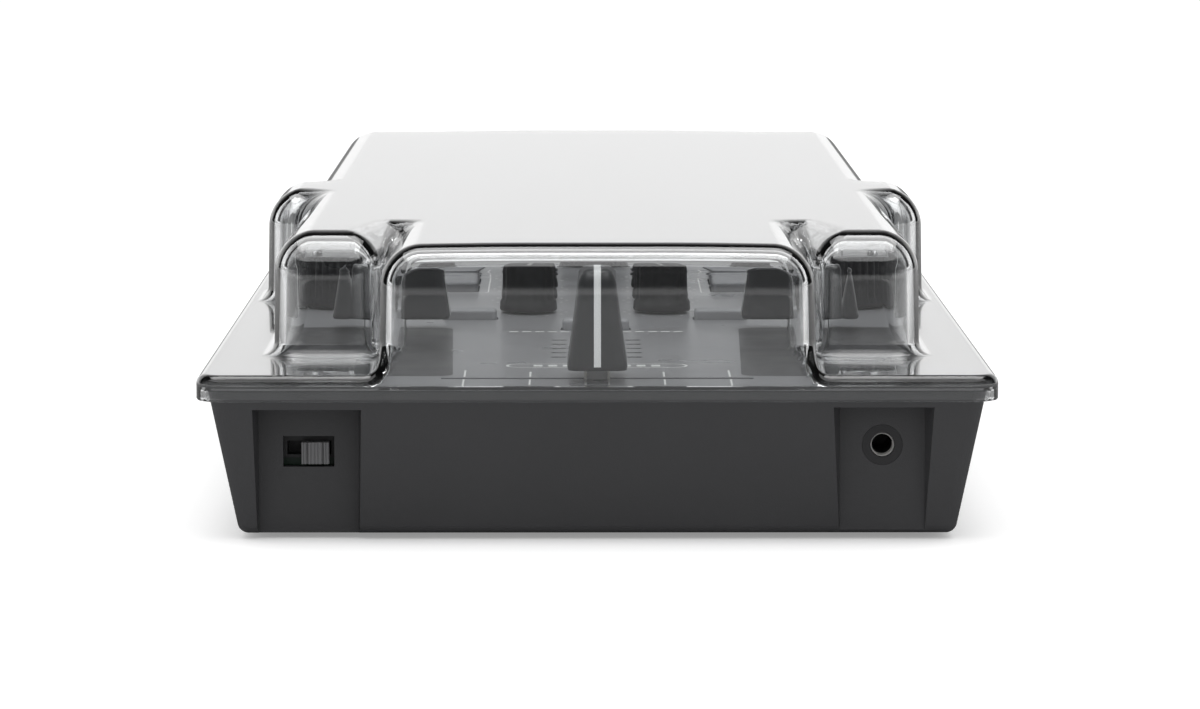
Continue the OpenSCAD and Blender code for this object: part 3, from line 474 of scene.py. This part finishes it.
def dust_cover():
    """The cover's sheet, on a grid that is fine where the sheet bends."""
    bend, straight = 0.85, 4
    half = spaced((0, 30, 3), (30, 65.6, bend), (65.6, 69.3, 0.4))
    xs = np.concatenate([-half[:0:-1], half])
    ys = spaced((-0.9, 6, 0.45), (6, 38, bend), (38, 118, straight), (118, 154, bend),
                (154, 288, straight), (288, 298.5, bend), (298.5, 304.5, 0.5))
    zs = spaced((-3, -1.1, 0.3), (-1.1, 2.9, 0.4), (2.9, 17.5, 0.9), (17.5, 25.2, 0.55))
    v, f = net(skin_field, xs, ys, zs)
    v = settle(skin_field, v)
    g = gradient(skin_field, v, 0.03)
    g /= np.maximum(np.linalg.norm(g, axis=1), 1e-9)[:, None]
    v += (0, LIP_FRONT, RIM)
    mesh = bpy.data.meshes.new("clear_cover")
    mesh.from_pydata((v * MM).tolist(), [], f.tolist())
    mesh.shade_smooth()
    mesh.normals_split_custom_set_from_vertices(g.tolist())
    o = bpy.data.objects.new("clear_cover", mesh)
    bpy.context.scene.collection.objects.link(o)
    mesh.materials.append(M["cover"])
    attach(o, "cover")
    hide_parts("dust_cover")


dust_cover()


# ---------------------------------------------------------------- fader caps

CAP_TOP, CAP_CORNER, CAP_WAIST, CAP_FOOT_EDGE = 6.8, 2.0, 0.85, 0.5
# Heights of the rings below the shoulder, as shares of the cap's height
CAP_LEVELS = (0.0, 0.04, 0.08, 0.16, 0.28, 0.42, 0.56, 0.7, 0.8)
# How far the shoulder draws in across the cap and along it, and how its corners shrink
DRAW_W, DRAW_L, DRAW_CORNER = 1.9, 2.2, 0.6
CAP_LINE_HALF, CAP_LINE_PROUD = 0.6, 0.04


def turned(pts, quarter, cx, cy):
    """Points moved to a place, after a quarter turn if the cap lies across."""
    if quarter:
        return [(cx - y, cy + x, z) for x, y, z in pts]
    return [(cx + x, cy + y, z) for x, y, z in pts]


def fader_cap(name, cad, body, quarter, taper):
    """Waisted cap with round shoulders and a light line over its top."""
    s = Span(cad)
    cx, cy, z0, h = s.mid[0], s.mid[1], s.low[2], s.size[2]
    foot, length = (s.size[1], s.size[0]) if quarter else (s.size[0], s.size[1])
    highest = CAP_LEVELS[-1]
    shoulder = h * (1 - highest)
    rings = []
    for t in CAP_LEVELS:
        edge = 0 if t else CAP_FOOT_EDGE
        w = foot + (CAP_TOP - foot) * (t / highest) ** CAP_WAIST - edge
        l = length - taper * t - edge
        rings.append(ring(round_outline(w, l, CAP_CORNER), z0 + h * t))
    for a in arc(6):
        k = 1 - math.cos(a)
        outline = round_outline(CAP_TOP - 2 * DRAW_W * k, length - taper - 2 * DRAW_L * k,
                                CAP_CORNER - DRAW_CORNER * k)
        rings.append(ring(outline, z0 + h - shoulder + shoulder * math.sin(a)))
    b = Build()
    b.rings([turned(r, quarter, cx, cy) for r in rings])
    b.piece(name, "cap", body, replaces=(cad,), slot="cap_plastic", sharp=50)
    # Line up the near side, over the top and down the far side
    proud = CAP_LINE_PROUD
    path = [(-(length - taper * t) / 2 - proud, z0 + h * t) for t in CAP_LEVELS[1:]]
    for a in arc(6):
        path.append((-(length - taper) / 2 + DRAW_L * (1 - math.cos(a)) - proud * math.cos(a),
                     z0 + h - shoulder + shoulder * math.sin(a) + proud * math.sin(a)))
    path += [(-y, z) for y, z in reversed(path)]
    verts = [(x, y, z) for y, z in path for x in (-CAP_LINE_HALF, CAP_LINE_HALF)]
    faces = [(2 * i, 2 * i + 1, 2 * i + 3, 2 * i + 2) for i in range(len(path) - 1)]
    line = Build()
    line.add(turned(verts, quarter, cx, cy), faces)
    line.piece(name + "_line", "cap_line", body, slot="cap_plastic", sharp=None)


# The lever's edges stand in front of its middle, from under the panel into the cap. They carry
# a painted highlight: near white in place of the steel's glint
LEVER_HALF, EDGE_HALF, EDGE_FRONT, EDGE_REAR = 2.0, 0.25, 0.9, 0.55
EDGE_BELOW, EDGE_ABOVE = 1.0, 0.3


def lever_edges():
    """Edges of the lever that carries the crossfader's cap, with a painted highlight: near
    white in place of the steel's glint.
    """
    cap = Span("crossfader_cap")
    b = Build()
    for side in (-1, 1):
        x = cap.mid[0] + side * LEVER_HALF
        b.box(x - EDGE_HALF, x + EDGE_HALF, cap.mid[1] - EDGE_FRONT, cap.mid[1] - EDGE_REAR,
              RIM - EDGE_BELOW, cap.low[2] + EDGE_ABOVE)
    b.piece("crossfader_slider_edge_highlights", "painted_highlight_edge", "crossfader", slot="lever_metal",
            sharp=None)


fader_cap("crossfader_cap_shell", "crossfader_cap", "crossfader", False, taper=1.6)
lever_edges()
for n, _ in SIDES:
    fader_cap("line_cap_shell_" + n, "line_fader_cap_" + n, "line_fader_" + n, True, taper=3.4)


# ---------------------------------------------------------------- knobs

KNOB_GAP, PUSH_GAP = 0.4, 1.0
POINTER_HALF = 0.4


def knob_profile(r, z0, h):
    """Radius, height and share of the flutes, from the foot to the middle of the top."""
    return [(r - 0.5, z0, 0), (r - 0.15, z0 + 0.1, 0.0), (r, z0 + 0.45, 0.2),
            (r - 0.1, z0 + 1.6, 0.3), (r - 0.45, z0 + 2.2, 1), (r - 0.6, z0 + h * 0.6, 1),
            (r - 0.75, z0 + h - 1.1, 1), (r - 0.95, z0 + h - 0.45, 0.8),
            (r - 1.35, z0 + h - 0.1, 0.4), (r - 1.9, z0 + h, 0), (r - 2.5, z0 + h - 0.05, 0),
            (r - 3.2, z0 + h - 0.3, 0), (0.05, z0 + h - 0.35, 0)]


def round_knob(cad, body, flutes, depth, mat, slot, gap, pointer=True):
    """Fluted knob on the CAD knob's axis, with a pointer line or without."""
    s = Span(cad)
    cx, cy, r, z0, top = s.mid[0], s.mid[1], s.size[0] / 2, RIM + gap, s.high[2]
    h = top - z0
    seg = max(48, flutes * 8)
    rings = []
    for radius, z, share in knob_profile(r, z0, h):
        pts = []
        for j in range(seg):
            a = 2 * math.pi * j / seg
            rr = radius - share * depth * (0.5 + 0.5 * math.cos(flutes * a)) ** 2
            pts.append((cx + rr * math.cos(a), cy + rr * math.sin(a), z))
        rings.append(pts)
    b = Build()
    b.rings(rings)
    b.piece(cad + "_shell", mat, body, replaces=(cad,), slot=slot, sharp=45)
    if pointer:
        b = Build()
        x0, x1 = cx - POINTER_HALF, cx + POINTER_HALF
        b.box(x0, x1, cy + r * 0.28, cy + r - 1.35, top - 0.3, top)
        b.box(x0, x1, cy + r - 1.45, cy + r - 0.62, z0 + h * 0.55, top - 0.35)
        b.piece(cad + "_line", "ink", body, slot=slot, sharp=None)


knobs = ["%s_knob_%s" % (k, n) for n, _ in SIDES for k in CHANNEL_KNOBS]
knobs += [k + "_knob" for k in OUTPUT_KNOBS]
for k in knobs:
    round_knob(k, k + "_turn", 9, 0.35, "knob", "knob_rubber", KNOB_GAP)
for n, _ in SIDES:
    k = "deck_encoder_" + n
    round_knob(k, k + "_turn", 36, 0.3, "encoder", "encoder_grip", KNOB_GAP, pointer=False)
round_knob("browse_knob", "browse_turn", 28, 0.3, "encoder", "encoder_grip", PUSH_GAP,
           pointer=False)


# ---------------------------------------------------------------- keys and pads

KEY_FLANGE, KEY_SUNK = 0.8, 1.3
KEY_CORNER, KEY_EDGE, KEY_EDGE_H = 1.0, 0.7, 0.62
KEY_CORNER_TOP, KEY_DISH, KEY_DISH_DEPTH = 0.4, 1.3, 0.01


def soft_key(name, mat, slot):
    """Key with round edges and a nearly flat top."""
    s = Span(name)
    x, y, z0, z1 = s.mid[0], s.mid[1], RIM - KEY_SUNK, s.high[2]
    w, l = s.size[0] - 2 * KEY_FLANGE, s.size[1] - 2 * KEY_FLANGE

    def level(inset, corner, z):
        return ring(round_outline(w - 2 * inset, l - 2 * inset, corner, 5, x, y), z)

    rings = [level(0, KEY_CORNER, z) for z in (z0, z1 - KEY_EDGE)]
    for a in arc(5):
        c = KEY_EDGE * (1 - math.cos(a))
        rings.append(level(c, max(KEY_CORNER_TOP, KEY_CORNER - 0.6 * c),
                           z1 - KEY_EDGE + KEY_EDGE_H * math.sin(a)))
    rings.append(level(KEY_DISH, KEY_CORNER_TOP, z1 - KEY_DISH_DEPTH))
    b = Build()
    b.rings(rings)
    b.piece(name + "_cap", mat, name + "_push", replaces=(name,), slot=slot, sharp=50)


soft_key("shift_key", "key", "key_rubber")
for n, _ in SIDES:
    for k in DECK_KEYS:
        soft_key("%s_key_%s" % (k, n), "key", "key_rubber")
    for i in PADS:
        soft_key("pad_%d_%s" % (i, n), "pad", "pad_rubber")


# ---------------------------------------------------------------- panel print and darker zones

# The near-black layers lie just over the panel, and the white and grey print over that
LOW_LAYER_Z = Span("top_panel").high[2] + 0.02
INK_TOP = LOW_LAYER_Z + 0.015
cross = Span("crossfader_cap")
lines = {n: Span("line_fader_cap_" + n) for n, _ in SIDES}
LINE_TRAVEL = 45.0


def bar(cx, cy, w, l):
    return (cx - w / 2, cx + w / 2, cy - l / 2, cy + l / 2)


def bars(name, boxes, mat="ink"):
    b = Build()
    for x0, x1, y0, y1 in boxes:
        b.add(ring([(x0, y0), (x1, y0), (x1, y1), (x0, y1)], INK_TOP), [(0, 1, 2, 3)])
    b.piece(name, mat, "case", slot="panel_metal", sharp=None)


def line_loops(b, loops, z):
    """Closed lines from (middle x, middle y, width, length, corner, thickness) rows."""
    for cx, cy, w, l, r, t in loops:
        outer = round_outline(w + t, l + t, r + t / 2, CORNER_STEPS, cx, cy)
        inner = round_outline(w - t, l - t, max(0.05, r - t / 2), CORNER_STEPS, cx, cy)
        k = len(outer)
        b.add(ring(outer, z) + ring(inner, z),
              [(i, (i + 1) % k, k + (i + 1) % k, k + i) for i in range(k)])


# Crossfader ticks: place along the slot, and reach from the slot's middle line
CROSS_TICKS = ((23.0, 11.7), (11.6, 9.4), (2, 9.4))
TICK_GAP, TICK_W = 1.8, 0.35


def crossfader_scale():
    """Ticks in front of the slot and behind it, the same on both halves."""
    bars("crossfader_scale",
         [bar(side * x, cross.mid[1] + s * (reach + TICK_GAP) / 2, TICK_W, reach - TICK_GAP)
          for x, reach in CROSS_TICKS for s in (-1, 1) for side in (-1, 1)])


LAMP_W, LAMP_L, LAMP_X, LAMP_PITCH, LAMP_COUNT = 2.6, 1.3, 6.8, 6.93, 5
LAMP_CORNER, LAMP_LINE = 0.2, 0.3


def lamp_frames():
    """Dark frame around each lamp of the two columns."""
    first = Span("level_lamps").mid[1] - LAMP_PITCH * (LAMP_COUNT - 1) / 2
    b = Build()
    line_loops(b, [(s * LAMP_X, first + LAMP_PITCH * i, LAMP_W, LAMP_L, LAMP_CORNER, LAMP_LINE)
                   for _, s in SIDES for i in range(LAMP_COUNT)], LOW_LAYER_Z)
    b.piece("lamp_frames", "near_black", "case", slot="panel_metal", sharp=None)


LABEL_Y, LABEL_W, LABEL_L, LABEL_CORNER, LABEL_LINE = LIP_FRONT + 33, 31.6, 5.4, 2.6, 0.5
# Half of the pads' pitch, and the frame around the four pads of a deck
PAD_STEP, PADS_FRAME, PADS_CORNER, PADS_LINE = 7, 30, 1.5, 0.3


def panel_frames():
    """Frame of the label, and one around each deck's pads."""
    b = Build()
    line_loops(b, [(0, LABEL_Y, LABEL_W, LABEL_L, LABEL_CORNER, LABEL_LINE)], INK_TOP)
    for n, s in SIDES:
        x, y = Span("pad_1_" + n).mid[:2]
        line_loops(b, [(x + s * PAD_STEP, y + PAD_STEP, PADS_FRAME, PADS_FRAME, PADS_CORNER,
                        PADS_LINE)], INK_TOP)
    b.piece("panel_frames", "ink", "case", slot="panel_metal", sharp=None)


# Marks beside the line faders: steps, distance from the slot, widths and thickness
FADER_STEPS, MARK_GAP, WIDE_MARK, MARK, MARK_T = 10, 3.4, 4.0, 2.4, 0.3


def line_fader_scales():
    """Eleven marks on both sides of each line fader, the ends and the middle wider."""
    marks = []
    for n, _ in SIDES:
        x, y0 = lines[n].mid[0], lines[n].mid[1] - LINE_TRAVEL
        for i in range(FADER_STEPS + 1):
            w = MARK if i % (FADER_STEPS // 2) else WIDE_MARK
            y = y0 + LINE_TRAVEL / FADER_STEPS * i
            marks += [bar(x + side * (MARK_GAP + w / 2), y, w, MARK_T) for side in (-1, 1)]
    bars("line_fader_scales", marks, "faint_ink")


SCALE_R, DOT, DOTS, DOT_STEP = 7.3, 0.55, 11, 30


def knob_scales():
    """Dots around each knob, over 300 degrees."""
    dots = []
    for k in knobs:
        x, y = Span(k).mid[:2]
        for i in range(DOTS):
            a = math.radians(DOT_STEP * (i - (DOTS - 1) / 2))
            dots.append(bar(x + SCALE_R * math.sin(a), y + SCALE_R * math.cos(a), DOT, DOT))
    bars("knob_scales", dots)


def numeral(text, x, y, size):
    """Vertices and faces of a number that lies on the panel."""
    c = bpy.data.curves.new("numeral", "FONT")
    c.body = text
    c.size = size * MM
    c.align_x = "CENTER"
    c.align_y = "CENTER"
    c.resolution_u = 3
    o = bpy.data.objects.new("numeral", c)
    bpy.context.scene.collection.objects.link(o)
    bpy.context.view_layer.update()
    m = bpy.data.meshes.new_from_object(o)
    verts = [(v.co.x / MM + x, v.co.y / MM + y, INK_TOP) for v in m.vertices]
    faces = [tuple(p.vertices) for p in m.polygons]
    bpy.data.objects.remove(o)
    return verts, faces


NUMERAL_AHEAD, NUMERAL_SIZE = 6.9, 1.6


def panel_numerals():
    """The pads' numbers, each in front of its pad."""
    b = Build()
    for n, _ in SIDES:
        for i in PADS:
            x, y = Span("pad_%d_%s" % (i, n)).mid[:2]
            b.add(*numeral(str(i), x, y - NUMERAL_AHEAD, NUMERAL_SIZE))
    b.piece("panel_numerals", "ink", "case", slot="panel_metal", sharp=None)


LABEL_PITCH, LABEL_BARS, LABEL_BAR = 2.6, 4, (1.6, 2.4)
ROW_Y, ROW_FROM, ROW_PITCH, ROW_BARS, ROW_BAR = LIP_FRONT + 88.5, 5.8, 2.4, 5, (1.7, 1.2)


def plain_labels():
    """Plain bars in place of lettering: in the label's frame and in a row behind it."""
    bars("front_label_bars", [bar(s * LABEL_PITCH * i, LABEL_Y, *LABEL_BAR)
                              for i in range(1, LABEL_BARS + 1) for s in (-1, 1)])
    bars("label_row", [bar(s * (ROW_FROM + ROW_PITCH * i), ROW_Y, *ROW_BAR)
                       for s in (-1, 1) for i in range(ROW_BARS)])


# Darker zone of a deck on the panel, which shifts inwards towards the front
DECK_FRONT, DECK_REAR, DECK_IN, DECK_OUT = LIP_FRONT + 17.5, LIP_FRONT + 96, 27, 62
DECK_CORNER, DECK_TAPER = 3.0, 2
SLOT_HALF, SLOT_END = 1.1, 4.6


def deck_zones():
    """Darker zones of the two decks on the panel, open where the fader slots run."""
    width, length = DECK_OUT - DECK_IN, DECK_REAR - DECK_FRONT
    b = Build()
    for n, s in SIDES:
        zone = round_outline(width, length, DECK_CORNER, CORNER_STEPS,
                             s * (DECK_IN + DECK_OUT) / 2, (DECK_FRONT + DECK_REAR) / 2)
        zone = [(x - s * DECK_TAPER * max(0, DECK_OUT - abs(x)) / width
                 * (DECK_REAR - y) / length, y) for x, y in zone]
        x, end = lines[n].mid[0], lines[n].mid[1] - LINE_TRAVEL - SLOT_END
        notch = [(x + SLOT_HALF, DECK_REAR), (x + SLOT_HALF, end), (x - SLOT_HALF, end),
                 (x - SLOT_HALF, DECK_REAR)]
        corner = CORNER_STEPS + 1
        outline = zone[:corner] + notch + zone[corner:]
        b.add(ring(outline, LOW_LAYER_Z), [tuple(range(len(outline)))])
    b.piece("deck_zones", "near_black", "case", slot="panel_metal", sharp=None)


crossfader_scale()
lamp_frames()
panel_frames()
line_fader_scales()
knob_scales()
panel_numerals()
plain_labels()
deck_zones()


# ---------------------------------------------------------------- sockets and switch

SLEEVE_R, BORE_R, SLEEVE_SUNK = 2.08, 1.82, 0.25


def jack_sleeve():
    """Metal sleeve of the headphone jack, with a rolled and slightly sunk edge."""
    sleeve = Span("jack_sleeve")
    y0, y1 = sleeve.low[1] + SLEEVE_SUNK, sleeve.high[1]
    rows = [(SLEEVE_R, y1), (SLEEVE_R, y0 + 0.35), (SLEEVE_R - 0.04, y0 + 0.1),
            (SLEEVE_R - 0.14, y0), (BORE_R + 0.04, y0 + 0.12), (BORE_R, y0 + 0.4),
            (BORE_R, y1), (SLEEVE_R, y1)]
    b = Build()
    b.lathe_y(sleeve.mid[0], sleeve.mid[2], rows)
    b.piece("jack_sleeve_shell", "sleeve", "case", replaces=("jack_sleeve",),
            slot="socket_metal", sharp=50)


SWITCH_W, SWITCH_H, SWITCH_DEPTH, SWITCH_EDGE = 4.75, 3.75, 2.1, 0.15
VALLEY, GROOVE, STEM_HALF = 0.14, 0.5, 1.0
# Stretches across the knob: width, and number of ribs. One without ribs is a groove.
RIB_GROUPS = ((0.9, 2), (0.25, 0), (2.45, 4), (0.25, 0), (0.9, 2))


def phones_switch():
    """Switch knob with two grooves and fine ribs, and its stem."""
    knob = Span("phones_switch_knob")
    x0, x1 = knob.mid[0] - SWITCH_W / 2, knob.mid[0] + SWITCH_W / 2
    z0, z1 = knob.high[2] - SWITCH_H, knob.high[2]
    y0, y1 = knob.low[1], knob.low[1] + SWITCH_DEPTH
    x = x0
    outline = [(x0, y0 + SWITCH_EDGE)]
    for width, ribs in RIB_GROUPS:
        for i in range(ribs):
            step = width / ribs
            outline += [(x + step * (i + 0.12), y0), (x + step * (i + 0.62), y0),
                        (x + step * (i + 0.78), y0 + VALLEY),
                        (x + step * (i + 0.96), y0 + VALLEY)]
        if not ribs:
            outline += [(x + 0.02, y0 + GROOVE), (x + width - 0.02, y0 + GROOVE)]
        x += width
    outline += [(x1, y0 + SWITCH_EDGE), (x1, y1), (x0, y1)]
    b = Build()
    b.rings([ring(outline, z) for z in (z0, z1)])
    b.box(knob.mid[0] - STEM_HALF, knob.mid[0] + STEM_HALF, y1 - 0.05, knob.high[1],
          z0 + 0.7, z0 + 2.7)
    b.piece("phones_switch_cap", "switch", "phones_switch", replaces=("phones_switch_knob",),
            slot="switch_plastic", sharp=25)


# Section of an insulator: radius, and depth from the middle of the contact's bore
INSULATOR = ((2.5, -4.18), (3.6, -4.18), (3.6, 1.42), (3.3, 1.82), (2.8, 1.82), (2.5, 1.42),
             (2.5, -4.18))


def output_insulators():
    """Coloured insulators around the contacts of the output sockets."""
    places = {m["name"]: m["pos_m"] for m in frame["record"]["mounts"]}
    for side, colour in (("left", "white"), ("right", "red")):
        x, y, z = (v / MM for v in places["output_%s_contact" % side])
        b = Build()
        b.lathe_y(x, z, [(r, y + depth) for r, depth in INSULATOR])
        b.piece("output_insulator_" + colour, colour + "_ring", "case", slot="socket_metal")


jack_sleeve()
phones_switch()
output_insulators()


# ---------------------------------------------------------------- CAD nodes kept

# Material and bevel of each node that keeps its CAD shape
CAD_FINISH = {
    "bottom_case": ("case", 0.25),
    "top_panel": ("panel", 0.12),
    "main_board": ("board", 0),
    "fader_tracks": ("steel", 0),
    "pot_bodies": ("body", 0),
    "encoder_bodies": ("body", 0),
    "key_switches": ("body", 0),
    "level_lamps": ("lens", 0.08),
    "headphone_jack": ("socket", 0.15),
    "phones_switch_body": ("body", 0),
    "usb_socket": ("nickel", 0.06),
    "rca_sockets": ("nickel", 0.2),
    "case_screws": ("black_screw", 0.1),
    "board_screws": ("steel", 0),
    "panel_spacers": ("spindle", 0),
    "rubber_feet": ("foot", 0.2),
    "crossfader_slider": ("lever", 0.1),
    "line_fader_slider_left": ("lever", 0.1),
    "line_fader_slider_right": ("lever", 0.1),
    "browse_spindle": ("spindle", 0),
}


def dress(name, key, bevel):
    """Gives a CAD node its material, and softens its edges."""
    o = nodes[name]
    o.data.materials.clear()
    o.data.materials.append(M[key])
    if bevel:
        b = o.modifiers.new("edge", "BEVEL")
        b.width = bevel * MM
        b.segments = 2
        b.limit_method = "ANGLE"
        b.angle_limit = math.radians(35)
        b.harden_normals = True
        b.use_clamp_overlap = True


for name, (key, bevel) in CAD_FINISH.items():
    dress(name, key, bevel)


# ---------------------------------------------------------------- studio

# What reflections see: strengths, and the directions over which each part fades in
BOX_LEVEL, BOX_FRONT, TABLE_LEVEL, DARK_ROOM = 1.5, 0.6, 0.42, 0.03
REAR_BOX_RISE, FRONT_BOX_RISE, BOX_SPLIT = (0.83, 0.87), (0.63, 0.67), (-0.06, 0.04)
WALL_DEPTH, WALL_FADE = (0.5, 0.66), (0.13, 0.72)
TABLE_END, TABLE_SIDE = (0.02, 0.07), (0.45, 0.65)
# Even light on every matt surface
AMBIENT = 0.72


def indirect_view(nt, path):
    """1 for rays that show a reflection, or what lies behind the cover's sheet."""
    return calc(nt, "MAXIMUM", path.outputs["Is Glossy Ray"],
                path.outputs["Is Transmission Ray"])


def backdrop_level(nt, ways):
    """Brightness along a direction for those rays: a white wall behind the object that
    fades upwards, a soft box overhead, the pale table and a dark room."""
    def step(source, stretch, lo=0.0, hi=1.0, kind="SMOOTHSTEP"):
        return ramp(nt, source, *stretch, lo, hi, kind)
    x, y, z = (ways.outputs[k] for k in "XYZ")
    rear_half = calc(nt, "MULTIPLY", step(z, REAR_BOX_RISE), step(y, BOX_SPLIT))
    front_half = calc(nt, "MULTIPLY", step(z, FRONT_BOX_RISE), step(y, BOX_SPLIT, BOX_FRONT, 0))
    box = calc(nt, "MULTIPLY", calc(nt, "ADD", rear_half, front_half), BOX_LEVEL)
    wall = calc(nt, "MULTIPLY", step(y, WALL_DEPTH), step(z, WALL_FADE, 1, 0, "LINEAR"))
    table = calc(nt, "MULTIPLY", step(z, TABLE_END, 1, 0),
                 step(calc(nt, "ABSOLUTE", x, 0), TABLE_SIDE, TABLE_LEVEL, 1))
    lights = calc(nt, "MAXIMUM", calc(nt, "MAXIMUM", box, wall), table)
    return calc(nt, "MAXIMUM", lights, DARK_ROOM)


def sky():
    """World that is white to the camera, a studio in reflections and even light elsewhere."""
    w = bpy.context.scene.world or bpy.data.worlds.new("World")
    bpy.context.scene.world = w
    w.use_nodes = True
    nt = w.node_tree
    nt.nodes.clear()
    bg = node(nt, "ShaderNodeBackground")
    nt.links.new(bg.outputs[0], node(nt, "ShaderNodeOutputWorld").inputs[0])
    ways = node(nt, "ShaderNodeSeparateXYZ")
    nt.links.new(node(nt, "ShaderNodeTexCoord").outputs["Generated"], ways.inputs[0])
    seen = backdrop_level(nt, ways)
    path = node(nt, "ShaderNodeLightPath")
    shiny = indirect_view(nt, path)
    level = calc(nt, "ADD", calc(nt, "MULTIPLY", shiny, seen),
                 calc(nt, "MULTIPLY", calc(nt, "SUBTRACT", 1.0, shiny), AMBIENT))
    nt.links.new(calc(nt, "MAXIMUM", level, path.outputs["Is Camera Ray"]),
                 bg.inputs["Strength"])
    bg.inputs["Color"].default_value = (1, 1, 1, 1)


# In metres: half the floor's side, reach of the painted contact shadow, and where its dark
# colour in reflections ends towards the sides
FLOOR_HALF, PAINTED_SHADOW_REACH, DARK_SIDE = 6.0, 0.008, (0.25, 0.5)
# Glow to the camera and its share under the object in the painted shadow, colour, and colour in
# reflections
FLOOR_GLOW, PAINTED_SHADOW_SHARE, FLOOR_COLOUR, FLOOR_DARK = 0.45, 0.6, 0.8, 0.28


def floor():
    """Floor that is white to the camera, with a soft shadow that is partly real and partly
    painted, and darker in reflections.
    """
    mesh = bpy.data.meshes.new("floor")
    k = FLOOR_HALF
    mesh.from_pydata([(-k, -k, 0), (k, -k, 0), (k, k, 0), (-k, k, 0)], [], [(0, 1, 2, 3)])
    o = bpy.data.objects.new("floor", mesh)
    bpy.context.scene.collection.objects.link(o)
    m, nt, p = material("pale_floor")
    p.inputs["Roughness"].default_value = 0.9
    p.inputs["Specular IOR Level"].default_value = 0.1
    path = node(nt, "ShaderNodeLightPath")
    shiny = indirect_view(nt, path)
    place = node(nt, "ShaderNodeSeparateXYZ")
    nt.links.new(node(nt, "ShaderNodeNewGeometry").outputs["Position"], place.inputs[0])
    aside = ramp(nt, calc(nt, "ABSOLUTE", place.outputs["X"], 0), *DARK_SIDE, 0, 1)
    nt.links.new(tint(nt, calc(nt, "SUBTRACT", shiny, calc(nt, "MULTIPLY", shiny, aside)),
                      (FLOOR_COLOUR,) * 3, (FLOOR_DARK,) * 3), p.inputs["Base Color"])
    # Painted contact shadow: ambient occlusion dims the glow that the camera sees near the
    # object
    painted_shadow = node(nt, "ShaderNodeAmbientOcclusion", in_Distance=PAINTED_SHADOW_REACH, samples=8)
    glow = ramp(nt, painted_shadow.outputs["AO"], 0, 1, PAINTED_SHADOW_SHARE * FLOOR_GLOW, FLOOR_GLOW)
    p.inputs["Emission Color"].default_value = (1, 1, 1, 1)
    nt.links.new(calc(nt, "MULTIPLY", glow, path.outputs["Is Camera Ray"]),
                 p.inputs["Emission Strength"])
    mesh.materials.append(m)


def soft_box(name, place, target, size, power):
    light = bpy.data.lights.new(name, "AREA")
    light.shape = "RECTANGLE"
    light.size, light.size_y = size
    light.energy = power
    o = bpy.data.objects.new(name, light)
    o.location = place
    o.rotation_mode = "QUATERNION"
    o.rotation_quaternion = (Vector(target) - Vector(place)).to_track_quat("-Z", "Y")
    bpy.context.scene.collection.objects.link(o)


# The camera's place in metres, its pitch and yaw in degrees, and its lens
EYE, EYE_PITCH, EYE_YAW, LENS = (-0.0029, -0.9695, 0.12597), 83.5, -0.2328, 145.45


def camera():
    cam = bpy.data.cameras.new("camera")
    cam.sensor_width = 36
    cam.lens = LENS
    cam.clip_start, cam.clip_end = 0.05, 50
    eye = bpy.data.objects.new("camera", cam)
    eye.location = EYE
    eye.rotation_euler = (math.radians(EYE_PITCH), 0, math.radians(EYE_YAW))
    bpy.context.scene.collection.objects.link(eye)
    bpy.context.scene.camera = eye


sky()
floor()
soft_box("top_box", place=(0, 0.1, 1.25), target=(0, 0, 0), size=(1.5, 1.1), power=7.5)
camera()
bpy.context.scene.view_settings.view_transform = "Standard"
